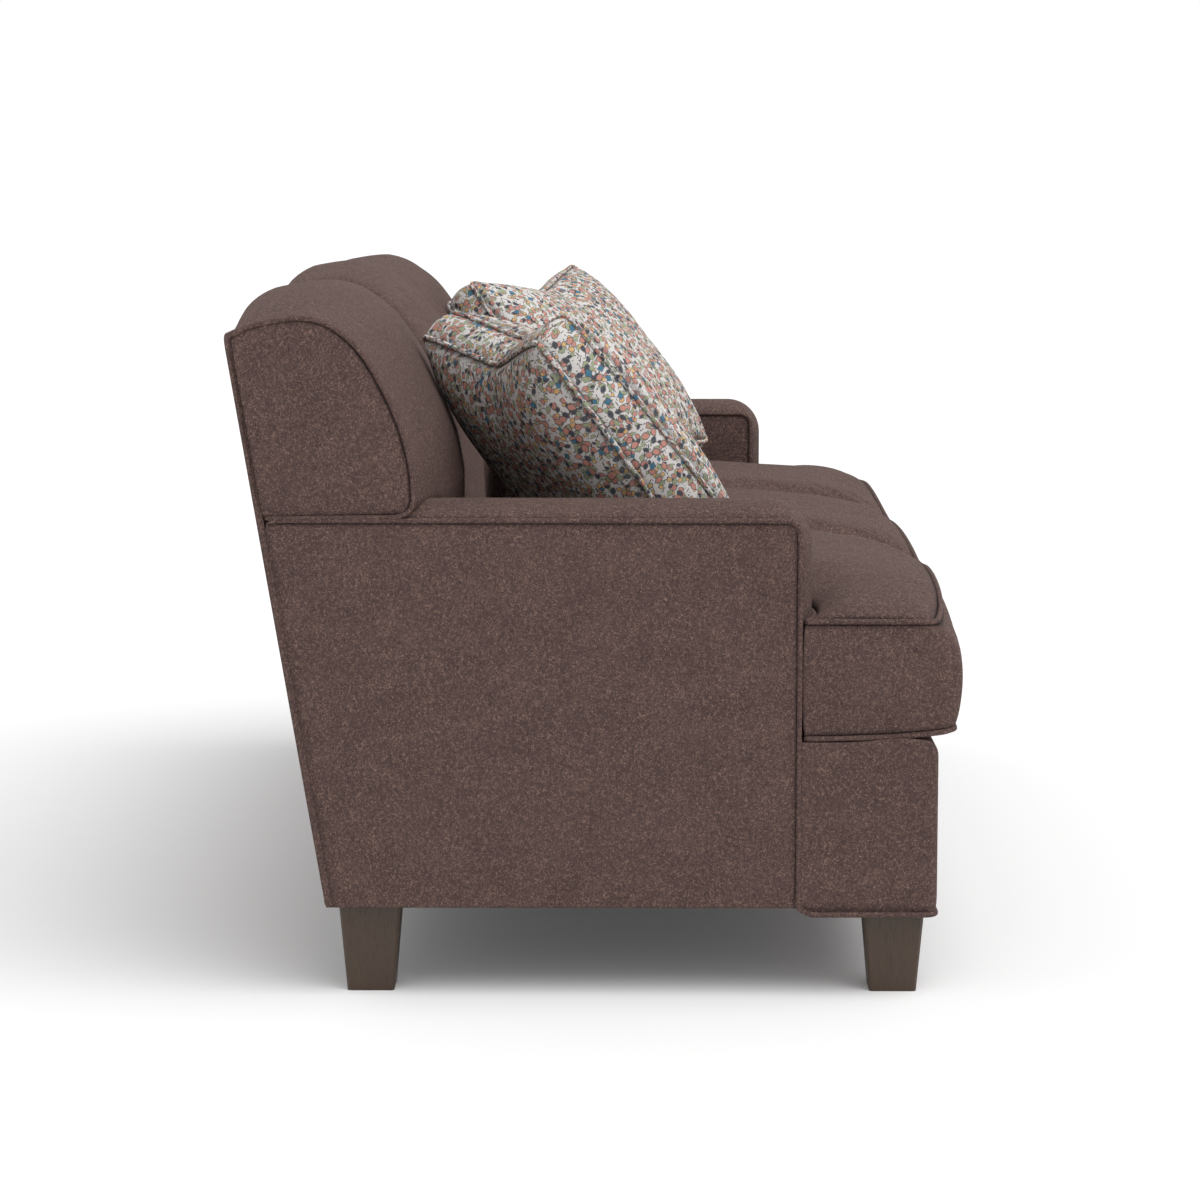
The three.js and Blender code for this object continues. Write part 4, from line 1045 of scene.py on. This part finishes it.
def add_front_border():
    """The box under the seat cushions' front, rounded along its top and corners, with a
    covered cord along its hem."""
    s = sizes()
    end_columns, long_columns, rows, layers = 20, 150, 24, 40
    hem_rise, front_round, rear_round, end_round, foot_round = 0.009, 0.009, 0.018, 0.012, 0.006
    crown_back, crown_reach = 0.05, 0.04
    grid = whole_grid(2 * end_columns + long_columns, rows, layers)
    near_end = HALF_WIDTH - 0.1
    x = joined(graded(-HALF_WIDTH, -near_end, end_columns, 0.5),
               np.linspace(-near_end, near_end, long_columns + 1),
               graded(near_end, HALF_WIDTH, end_columns, 0.5))[grid.i]
    back = ARM_FRONT - TOUCH
    y = graded(BORDER_FRONT, back, rows, 0.6)[grid.j]
    z = graded(BORDER_LOW[2], BORDER_TOP, layers, 0.7)[grid.k]
    foot = BORDER_LOW[2]
    inside = np.minimum(HALF_WIDTH - np.abs(x), y - BORDER_FRONT)
    above_hem = z - foot - hem_rise
    y, z = round_corner(y, z, BORDER_FRONT, BORDER_TOP, s.border_round, -1, 1)
    y, z = round_corner(y, z, BORDER_FRONT, foot, front_round, -1, -1)
    y, z = round_corner(y, z, back, foot, rear_round, 1, -1)
    high = smooth((z - BORDER_TOP + crown_reach) / crown_reach)
    z = z + s.border_crown * high * np.exp(-((y - BORDER_FRONT - crown_back) / crown_reach) ** 2)
    for way in (-1, 1):
        x, y = round_corner(x, y, way * HALF_WIDTH, BORDER_FRONT, end_round, way, -1)
        x, z = round_corner(x, z, way * HALF_WIDTH, foot, foot_round, way, -1)
    distance = np.where(inside < 0.004, np.abs(above_hem), 1.0)
    points = np.stack((x, y, z), axis=1)
    points, _ = tucked(points, grid.quads, distance, 0.5)
    solids = ["border_front", "border_top", "border_return_right", "border_return_left"]
    # Painted shade darkens the border's colour a little along its hem cord.
    border = add_piece("border", [(points, grid.quads)], "upholstery", "root",
                       painted_seam_shade(distance, 0.4), solids)
    cord = []
    hem_z = foot + hem_rise / 2
    sunk = 0.001
    front = BORDER_FRONT + sunk
    for way in (-1, 1):
        end = way * (HALF_WIDTH - sunk)
        side = np.array((
            (end, back + 0.006, hem_z + 0.018), (end, back + 0.0005, hem_z + 0.008),
            (end, back - 0.012, hem_z), (end, (front + back) / 2, hem_z),
            (end, front + 0.014, hem_z), (end - way * 0.004, front + 0.004, hem_z),
            (end - way * 0.014, front, hem_z), (0.0, front, hem_z)))
        cord.append(side if way < 0 else side[::-1][1:])
    path = evenly(np.concatenate(cord), closed=False, step=0.006)
    add_piece("border_welt", [tube(path, s.welt_radius, (0, 0, 1), closed=False)],
              "upholstery", "root")


def add_outside_back():
    """The raked panel behind the frame: a thin slab that follows the rear plane, with a
    slightly full face and a covered cord round its sides and top."""
    s = sizes()
    columns, rows, layers = 150, 90, 4
    corner, tightness, puff_reach, puff_start = 0.02, 0.3, 0.12, 0.08
    grid = whole_grid(columns, rows, layers, turned=True)
    x = graded(-HALF_WIDTH, HALF_WIDTH, columns, 0.6)[grid.i]
    z = graded(PANEL_LOW[2], PANEL_HIGH[2], rows, 0.6)[grid.j]
    level = grid.k / layers
    inside = np.minimum(HALF_WIDTH - np.abs(x), PANEL_HIGH[2] - z)
    low = z - PANEL_LOW[2]
    for way in (-1, 1):
        x, z = round_corner(x, z, way * HALF_WIDTH, PANEL_HIGH[2], corner, way, 1)
    full = tightness * s.panel_puff * rise(inside / puff_reach, 2.0) * smooth(low / puff_start)
    y = rear_at(z) - PANEL_THICKNESS * (1 - level) + np.where(grid.k == layers, full, 0)
    points = np.stack((x, y, z), axis=1)
    distance = np.where(grid.k == layers, inside, 1.0)
    distance = np.where((grid.k == 0) | (grid.j == 0), 1.0, distance)
    points, cord = tucked(points, grid.quads, distance, 0.5)
    # Painted shade darkens the panel's colour beside its cord.
    panel = add_piece("outside_back", [(points, grid.quads)], "upholstery",
                      "root", painted_seam_shade(distance), ["outside_back_panel"])
    line = grid.line((0, 0, layers), (0, rows, layers), (columns, rows, layers), (columns, 0, layers))
    path = evenly(cord[line], closed=False)
    add_piece("outside_back_welt", [tube(path, s.welt_radius * 0.85, (0, 1, 0), closed=False)],
              "upholstery", "root")


# ---- back sections ------------------------------------------------------------------

def seam_outline(count_top, count_low):
    """The back's outline as a uniform Catmull-Rom spline, in steps of its own length that
    crowd at the arm's top, where step count_top is. Returns points (y, z), outward
    directions, crown shares and the length along it at each step."""
    height = SECTION_TOP - SECTION_FOOT
    z = SECTION_FOOT + BACK_OUTLINE[:, 1] * height
    deep = BACK_OUTLINE[:, 0] * (SECTION_DEPTH - REAR_SKIN)
    knots = np.stack((rear_at(z) - REAR_SKIN - deep, z), axis=1)
    last = len(knots) - 1
    t = np.linspace(0, last, 2001)
    base = np.minimum(t.astype(int), last - 1)
    part = (t - base)[:, None]
    before, start = knots[np.maximum(base - 1, 0)], knots[base]
    end, after = knots[base + 1], knots[np.minimum(base + 2, last)]
    slope_a, slope_b = (end - before) / 2, (after - start) / 2
    path = ((2 * (start - end) + slope_a + slope_b) * part ** 3
            + (3 * (end - start) - 2 * slope_a - slope_b) * part ** 2 + slope_a * part + start)
    crown = np.interp(t, np.arange(last + 1), BACK_OUTLINE[:, 2])
    along = np.concatenate(([0], np.cumsum(np.linalg.norm(np.diff(path, axis=0), axis=1))))
    at_arm = np.interp(ARM_TOP + OVER_ARM_GAP, path[::-1, 1], along[::-1])
    stations = joined(graded(0, at_arm, count_top, 0.5), graded(at_arm, along[-1], count_low, 0.5))
    tangent = np.gradient(path, axis=0)
    tangent /= np.linalg.norm(tangent, axis=1, keepdims=True)
    out = np.stack((tangent[:, 1], -tangent[:, 0]), axis=1)
    table = np.column_stack((path, out, crown))
    found = np.stack([np.interp(stations, along, table[:, c]) for c in range(5)], axis=1)
    return found[:, :2], found[:, 2:4], found[:, 4], stations


def back_section(start, end, crown, sign):
    """A crowned section between two seams. Each side outline is the seam's outline pushed
    out by the crown times one minus a power of the place across it, and the depth runs
    from the rear plane (share nought) to that outline (share one). An outer section runs
    over the arm, where only the part above the arm's top is kept. Returns the grid, the
    points, their distances from the welt, the welt's seam and line, the valleys' lines and
    the distances from a valley."""
    s = sizes()
    is_outer = end > ARM_INNER
    inner_columns, over, top_rows, low_rows, layers = 72, 24, 66, 36, 26
    valley_reach, over_arm_reach, panel_reach, panel_fullness = 0.012, 0.02, 0.07, 1.4
    xs = graded(start, end, 90, 0.6)
    if is_outer:
        xs = joined(graded(start, ARM_INNER, inner_columns, 0.6), graded(ARM_INNER, end, over, 0.5))
    columns = len(xs) - 1
    outline, out, crown_share, along = seam_outline(top_rows, low_rows)
    kept = np.ones((columns, top_rows + low_rows), bool)
    if is_outer:
        kept[columns - over:, top_rows:] = False
    grid = BoxedGrid(kept, layers, turned=sign > 0)
    i, j, k = grid.i, grid.j, grid.k
    x = xs[i]
    middle, half = (start + end) / 2, (end - start) / 2
    u = (x - middle) / half
    seam_level = np.where(is_outer & (u > 0), 0, SECTION_VALLEY)
    profile = seam_level + (1 - seam_level) * (1 - np.abs(u) ** SECTION_POWER)
    from_valley = (x - start) if is_outer else np.minimum(x - start, end - x)
    limit = OUTER_SHARE_LIMIT if is_outer else MIDDLE_SHARE_LIMIT
    tuck = s.valley_tuck * fade(from_valley, valley_reach) * np.minimum(crown_share[j] * 2, 1)
    push = crown * profile * np.minimum(crown_share[j], limit) - tuck
    skin = outline[j] + out[j] * push[:, None]
    at_arm = along[top_rows]
    above = np.clip((at_arm - along[j]) / OVER_ARM_RADIUS, 0, 1)
    over_arm = smooth((x - ARM_INNER) / over_arm_reach) if is_outer else 0 * x
    skin[:, 0] += OVER_ARM_RADIUS * (1 - dome(above)) * over_arm * (j <= top_rows)
    share_top = np.clip(along[j] / at_arm, 0, 1)
    share_low = np.clip((along[j] - at_arm) / (along[-1] - at_arm), 0, 1)
    rear_top = SECTION_FOOT + BACK_OUTLINE[0, 1] * (SECTION_TOP - SECTION_FOOT)
    rear_z = rear_top + (ARM_TOP - rear_top) * share_top + (SECTION_FOOT - ARM_TOP) * share_low
    rear = np.stack((rear_at(rear_z) - REAR_SKIN, rear_z), axis=1)
    level = graded(0, 1, layers, 0.5)[k]
    place = rear + (skin - rear) * level[:, None]
    depth = np.linalg.norm(skin - rear, axis=1) * (1 - level)
    at_end = np.abs(x - end) < 1e-6
    inside = np.minimum(depth, np.minimum(along[j], at_arm - along[j]))
    puff = np.where(is_outer & at_end,
                    s.panel_puff * panel_fullness * rise(inside / panel_reach, 2.0), 0)
    points = np.stack((sign * (x + puff), place[:, 0], place[:, 1]), axis=1)
    distance = np.where(k == layers, end - x, 1.0) if is_outer else np.ones(len(x))
    distance = np.where(is_outer & at_end, np.maximum(np.minimum(depth, at_arm - along[j]), 0), distance)
    points, cord = tucked(points, grid.quads, distance)
    rows = top_rows if is_outer else top_rows + low_rows
    seam = grid.line((columns, 0, 0), (columns, 0, layers), (columns, rows, layers), (columns, rows, 0))
    valley_line = grid.line((0, 0, layers), (0, top_rows + low_rows, layers))
    return grid, points, distance, seam, cord[seam], valley_line, from_valley


def add_back_sections():
    """The three sewn sections of the back, the outer ones with a D-shaped end panel."""
    s = sizes()
    joint = SEAT_PITCH / 2
    half = TOUCH / 2
    spans = {
        "right": (joint + half, HALF_WIDTH, s.outer_crown, -1),
        "middle": (-joint + half, joint - half, s.middle_crown, 1),
        "left": (joint + half, HALF_WIDTH, s.outer_crown, 1),
    }
    for name, (start, end, crown, sign) in spans.items():
        grid, points, distance, seam, line, valley, from_valley = back_section(start, end, crown, sign)
        # Painted shade: the colour is darkened beside the welt and along the valleys between sections.
        dark = np.maximum(painted_seam_shade(distance), fade(from_valley, VALLEY_SHADE_REACH) * VALLEY_SHADE)
        section = add_piece(
            "back_" + name, [(points, grid.quads)], "upholstery", "root",
            dark, ["back_section_" + name])
        pinned = np.concatenate((seam, valley, np.nonzero(grid.k == 0)[0]))
        inflate(section, np.unique(pinned),
                1 - fade(np.minimum(distance, from_valley), CLOTH_FREE_REACH))
        if name != "middle":
            path = evenly(line, closed=False)
            add_piece("back_welt_" + name, [tube(path, s.welt_radius * 0.9, (1, 0, 0), closed=False)],
                      "upholstery", "root")


# ---- throw pillows ------------------------------------------------------------------

def throw_pillow():
    """A boxed pillow in its own frame: width along X, height along Y, front towards +Z. Its
    top dips in a soft V between two ears, its sides bow out by a parabola, its boxing gets
    wider towards the foot, and each face rises by a power of the product of two domes."""
    s = sizes()
    cells, layers = 72, 16
    grid = whole_grid(cells, cells, layers)
    half_w, half_h = PILLOW_WIDTH / 2, PILLOW_HEIGHT / 2
    stations = graded(-1, 1, cells, 0.6)
    u, v = stations[grid.i], stations[grid.j]
    x, y = np.abs(u * half_w), np.abs(v * half_h)
    x, y = round_corner(x, y, half_w, half_h, PILLOW_CORNER_RADIUS, 1, 1)
    soft = np.sqrt(u * u + PILLOW_V_BLUNT) - np.sqrt(PILLOW_V_BLUNT)
    dip = np.where(v > 0, s.pillow_dip * np.clip(1 - soft, 0, 1) ** PILLOW_DIP_POWER,
                   PILLOW_FOOT_DIP * (1 - u * u))
    x = np.sign(u) * x * (1 + s.pillow_bulge / half_w * (1 - v * v))
    y = np.sign(v) * y * (1 - dip / half_h)
    gap_x, gap_y = (1 - np.abs(u)) * half_w, (1 - np.abs(v)) * half_h
    crown = (dome(gap_x / s.pillow_reach) * dome(gap_y / s.pillow_reach)) ** PILLOW_CROWN_POWER
    level = graded(0, 1, layers, 0.5)[grid.k]
    face = (grid.k == 0) | (grid.k == layers)
    boxing = PILLOW_BOXING_FOOT + (PILLOW_BOXING_TOP - PILLOW_BOXING_FOOT) * (v + 1) / 2
    half = boxing / 2 + np.where(face, s.pillow_crown * crown, 0)
    z = (2 * level - 1) * half
    out_x, out_y = grid.outward()
    swell = PILLOW_BOXING_BULGE * np.sin(np.pi * level)
    points = np.stack((x + out_x * swell, y + out_y * swell, z), axis=1)
    wall = np.minimum(level, 1 - level) * boxing
    distance = np.where(face, np.minimum(gap_x, gap_y), wall)
    points, cord = tucked(points, grid.quads, distance, 0.9)
    seams = grid.seams((0, 0), (cells, 0), (cells, cells), (0, cells))
    return grid, points, distance, seams, [cord[seam] for seam in seams]


def pillow_place(name, sign):
    """Where a pillow leans: turned about Z, tipped back about X, and moved to its corner. It
    has slipped a little from there: a roll in its own plane, a rise and a step back."""
    roll, up, back = PILLOW_SLIP[name]
    z = CUSHION_LOW + CUSHION_THICKNESS + sizes().cushion_crown + PILLOW_ABOVE_SEAT
    y = rear_at(z) - SECTION_DEPTH - PILLOW_FROM_BACK + back
    spot = Matrix.Translation((sign * (ARM_INNER - PILLOW_FROM_ARM), y, z))
    turn = Matrix.Rotation(-sign * PILLOW_TURN, 4, "Z")
    tip = Matrix.Rotation(math.pi / 2 - PILLOW_LEAN, 4, "X")
    slip = Matrix.Translation((0, up, 0)) @ Matrix.Rotation(sign * roll, 4, "Z")
    return np.array(spot @ turn @ tip @ slip)


def add_pillows():
    """The two printed throw pillows with their welts."""
    s = sizes()
    grid, flat, distance, seams, lines = throw_pillow()
    for name, sign in SIDES:
        place = pillow_place(name, sign)
        points = flat @ place[:3, :3].T + place[:3, 3]
        body = "throw_pillow_" + name
        printed = flat * (sign, 1, 1) + (PILLOW_PRINT_SHIFT * sign, 0, 0)
        # Painted shade darkens the print beside the pillow's seams.
        pillow = add_piece(
            "pillow_" + name, [(points, grid.quads)], "pillow_print", body,
            painted_seam_shade(distance, 0.75), ["throw_pillow_" + name], printed)
        inflate(pillow, np.concatenate(seams), 1 - fade(distance, CLOTH_FREE_REACH))
        cords = [tube(evenly(line @ place[:3, :3].T + place[:3, 3]), s.welt_radius, place[:3, 2])
                 for line in lines]
        add_piece("pillow_welts_" + name, cords, "pillow_print", body)


# ---- underneath ---------------------------------------------------------------------

def add_platform():
    """The seat deck under the cushions: a thin pad, slightly full in its middle."""
    columns, rows, layers = 60, 30, 4
    grid = whole_grid(columns, rows, layers)
    x = graded(DECK_LOW[0], DECK_HIGH[0], columns)[grid.i]
    y = graded(DECK_LOW[1], DECK_HIGH[1], rows)[grid.j]
    inside = np.minimum(np.minimum(x - DECK_LOW[0], DECK_HIGH[0] - x),
                        np.minimum(y - DECK_LOW[1], DECK_HIGH[1] - y))
    edge_share, edge_reach = 0.6, 0.05
    fullness = edge_share + (1 - edge_share) * rise(inside / edge_reach, 2.0)
    height = (DECK_HIGH[2] - DECK_LOW[2]) * fullness
    z = DECK_LOW[2] + height * grid.k / layers
    deck = add_piece("platform", [(np.stack((x, y, z), axis=1), grid.quads)],
                     "platform_cloth", "root", None, ["seat_deck"])


def add_dust_cover():
    """The cloth stapled under the frame: a thin sheet with a notch round each leg, which
    sags a little between its edges as the product of two sines."""
    legs = [node_box(name) for name in sorted(NODES) if name.startswith("leg_")]
    ease, most_sag, speck = 0.002, 0.006, 1e-6

    def stations(axis, count):
        """Even stations and the legs' sides along one axis, within the cover."""
        low, high = DUST_LOW[axis], DUST_HIGH[axis]
        sides = [(leg_low[axis] - ease, leg_high[axis] + ease) for leg_low, leg_high in legs]
        found = np.unique(np.concatenate([np.linspace(low, high, count), *sides]).round(6))
        return found[(found >= low - speck) & (found <= high + speck)]

    xs, ys = stations(0, 81), stations(1, 33)
    middle_x = ((xs[1:] + xs[:-1]) / 2)[:, None]
    middle_y = ((ys[1:] + ys[:-1]) / 2)[None, :]
    kept = np.ones((len(xs) - 1, len(ys) - 1), bool)
    for low, high in legs:
        kept &= ~((np.abs(middle_x - (low[0] + high[0]) / 2) < (high[0] - low[0]) / 2 + ease)
                  & (np.abs(middle_y - (low[1] + high[1]) / 2) < (high[1] - low[1]) / 2 + ease))
    grid = BoxedGrid(kept, 1)
    x, y = xs[grid.i], ys[grid.j]
    across = (x - DUST_LOW[0]) / (DUST_HIGH[0] - DUST_LOW[0])
    along = (y - DUST_LOW[1]) / (DUST_HIGH[1] - DUST_LOW[1])
    sag = most_sag * np.sin(np.pi * across) * np.sin(np.pi * along)
    z = np.where(grid.k == 0, DUST_LOW[2], DUST_HIGH[2]) - sag
    sheet = add_piece("dust_sheet", [(np.stack((x, y, z), axis=1), grid.quads)],
                      "dust_cloth", "root", None, ["dust_cover"])


def finish_frame():
    """Gives the legs, timber, springs and bolts their finishes."""
    kinds = {"leg_": "leg_wood", "hanger_bolt": "spring_steel", "seat_spring": "spring_steel",
             "back_spring": "spring_steel"}
    for name, node in NODES.items():
        if node.hide_render:
            continue
        slot = next((s for start, s in kinds.items() if name.startswith(start)), "frame_timber")
        node.data.materials.clear()
        node.data.materials.append(finish(slot))


# ---- stage --------------------------------------------------------------------------

def turned_to(right, up, ahead):
    """The turn of a camera or a light by its right, its up and the way that it faces."""
    return Matrix([[right[r], up[r], -ahead[r]] for r in range(3)]).to_4x4()


def add_camera():
    """The camera at the photograph's angle. It faces (cos p cos y, cos p sin y, -sin p), with
    its pitch p and its yaw y."""
    scene = bpy.context.scene
    level = math.cos(CAMERA_PITCH)
    ahead = np.array((level * math.cos(CAMERA_YAW), level * math.sin(CAMERA_YAW),
                      -math.sin(CAMERA_PITCH)))
    right = np.array((math.sin(CAMERA_YAW), -math.cos(CAMERA_YAW), 0.0))
    turn = turned_to(right, np.cross(right, ahead), ahead)
    lens = bpy.data.cameras.new("view_camera")
    lens.sensor_width = SENSOR_WIDTH
    lens.lens = FOCAL_PIXELS * SENSOR_WIDTH / PHOTO_WIDTH
    lens.clip_end = 200.0
    camera = bpy.data.objects.new("view_camera", lens)
    camera.matrix_world = Matrix.Translation(CAMERA_PLACE) @ turn
    scene.collection.objects.link(camera)
    scene.camera = camera


def add_floor():
    """The white floor, which the camera sees a little lighter than its light makes it."""
    mesh = bpy.data.meshes.new("studio_floor")
    mesh.from_pydata(
        [(FLOOR_REACH * x, FLOOR_REACH * y, 0) for x, y in ((-1, -1), (1, -1), (1, 1), (-1, 1))],
        [], [(0, 1, 2, 3)])
    floor = bpy.data.objects.new("studio_floor", mesh)
    bpy.context.scene.collection.objects.link(floor)
    paint = bpy.data.materials.new("studio_floor")
    paint.use_nodes = True
    paint.node_tree.nodes.clear()
    n = Nodes(paint.node_tree)
    plain = n.add("ShaderNodeBsdfDiffuse", Color=colours().floor)
    seen = n.add("ShaderNodeLightPath").outputs["Is Camera Ray"]
    glow = n.add("ShaderNodeEmission", Color=(1, 1, 1, 1), Strength=n.scaled(seen, FLOOR_GLOW))
    both = n.add("ShaderNodeAddShader")
    n.feed(both.inputs[0], plain.outputs[0])
    n.feed(both.inputs[1], glow.outputs[0])
    n.add("ShaderNodeOutputMaterial", Surface=both.outputs[0])
    mesh.materials.append(paint)


def add_world():
    """The white world: full strength where it is seen or mirrored, and weaker as a light."""
    world = bpy.data.worlds.new("studio_world")
    world.use_nodes = True
    bpy.context.scene.world = world
    world.node_tree.nodes.clear()
    n = Nodes(world.node_tree)
    path = n.add("ShaderNodeLightPath").outputs
    clear = n.math("MAXIMUM", path["Is Camera Ray"],
                   n.math("MAXIMUM", path["Is Glossy Ray"], path["Is Transmission Ray"]))
    strength = n.math("ADD", WORLD_LIGHT, n.scaled(clear, 1 - WORLD_LIGHT))
    sky = n.add("ShaderNodeBackground", Color=(1, 1, 1, 1), Strength=strength)
    n.add("ShaderNodeOutputWorld", Surface=sky.outputs[0])


def add_lights():
    """The suns that stand for the studio's soft boxes."""
    for name, way, power, spread in LIGHTS:
        data = bpy.data.lights.new(name, "SUN")
        data.energy = power
        data.angle = math.radians(spread)
        lamp = bpy.data.objects.new(name, data)
        ahead = np.array(way) / np.linalg.norm(way)
        right = np.cross(ahead, (0.0, 0.0, 1.0))
        right /= np.linalg.norm(right)
        lamp.matrix_world = turned_to(right, np.cross(right, ahead), ahead)
        bpy.context.scene.collection.objects.link(lamp)


def add_stage():
    """The camera, a white floor and world, and soft light, in plain screen colours."""
    bpy.context.scene.view_settings.view_transform = "Standard"
    add_camera()
    add_floor()
    add_world()
    add_lights()


# ---- operators and panel ------------------------------------------------------------

class SOFA_OT_stage(bpy.types.Operator):
    """Adds the camera, the floor, the world and the lights."""

    bl_idname = "sofa.stage"
    bl_label = "Stage"

    def execute(self, context):
        add_stage()
        return {"FINISHED"}


class SOFA_OT_seat_cushions(bpy.types.Operator):
    """Adds the three loose seat cushions and their welts."""

    bl_idname = "sofa.seat_cushions"
    bl_label = "Seat Cushions"

    def execute(self, context):
        add_seat_cushions()
        return {"FINISHED"}


class SOFA_OT_arm_covers(bpy.types.Operator):
    """Adds the two arm covers and their welts."""

    bl_idname = "sofa.arm_covers"
    bl_label = "Arm Covers"

    def execute(self, context):
        add_arm_covers()
        return {"FINISHED"}


class SOFA_OT_front_border(bpy.types.Operator):
    """Adds the front border and its hem cord."""

    bl_idname = "sofa.front_border"
    bl_label = "Front Border"

    def execute(self, context):
        add_front_border()
        return {"FINISHED"}


class SOFA_OT_back(bpy.types.Operator):
    """Adds the three back sections and the outside back panel."""

    bl_idname = "sofa.back"
    bl_label = "Back"

    def execute(self, context):
        add_back_sections()
        add_outside_back()
        return {"FINISHED"}


class SOFA_OT_pillows(bpy.types.Operator):
    """Adds the two printed throw pillows."""

    bl_idname = "sofa.pillows"
    bl_label = "Throw Pillows"

    def execute(self, context):
        add_pillows()
        return {"FINISHED"}


class SOFA_OT_underside(bpy.types.Operator):
    """Adds the seat deck and the dust cover."""

    bl_idname = "sofa.underside"
    bl_label = "Deck and Dust Cover"

    def execute(self, context):
        add_platform()
        add_dust_cover()
        return {"FINISHED"}


class SOFA_OT_frame_finish(bpy.types.Operator):
    """Gives the legs, the timber frame, the springs and the bolts their finishes."""

    bl_idname = "sofa.frame_finish"
    bl_label = "Frame Finishes"

    def execute(self, context):
        finish_frame()
        return {"FINISHED"}


OPERATORS = (SOFA_OT_stage, SOFA_OT_seat_cushions, SOFA_OT_arm_covers, SOFA_OT_front_border,
             SOFA_OT_back, SOFA_OT_pillows, SOFA_OT_underside, SOFA_OT_frame_finish)


class SOFA_PT_panel(bpy.types.Panel):
    """Lists the sofa's operators in the sidebar."""

    bl_idname = "SOFA_PT_panel"
    bl_label = "Square Arm Sofa"
    bl_space_type = "VIEW_3D"
    bl_region_type = "UI"
    bl_category = "Sofa"

    def draw(self, context):
        for operator in OPERATORS:
            self.layout.operator(operator.bl_idname)


CLASSES = (SofaSizes, SofaColours, *OPERATORS, SOFA_PT_panel)


def register():
    """Registers the classes and puts the settings on the scene."""
    for item in CLASSES:
        bpy.utils.register_class(item)
    bpy.types.Scene.sofa_sizes = bpy.props.PointerProperty(type=SofaSizes)
    bpy.types.Scene.sofa_colours = bpy.props.PointerProperty(type=SofaColours)


def unregister():
    """Takes the settings off the scene and unregisters the classes."""
    del bpy.types.Scene.sofa_colours
    del bpy.types.Scene.sofa_sizes
    for item in reversed(CLASSES):
        bpy.utils.unregister_class(item)


def main():
    register()
    bpy.ops.sofa.stage()
    bpy.ops.sofa.seat_cushions()
    bpy.ops.sofa.arm_covers()
    bpy.ops.sofa.front_border()
    bpy.ops.sofa.back()
    bpy.ops.sofa.pillows()
    bpy.ops.sofa.underside()
    bpy.ops.sofa.frame_finish()


if __name__ == "__main__":
    main()
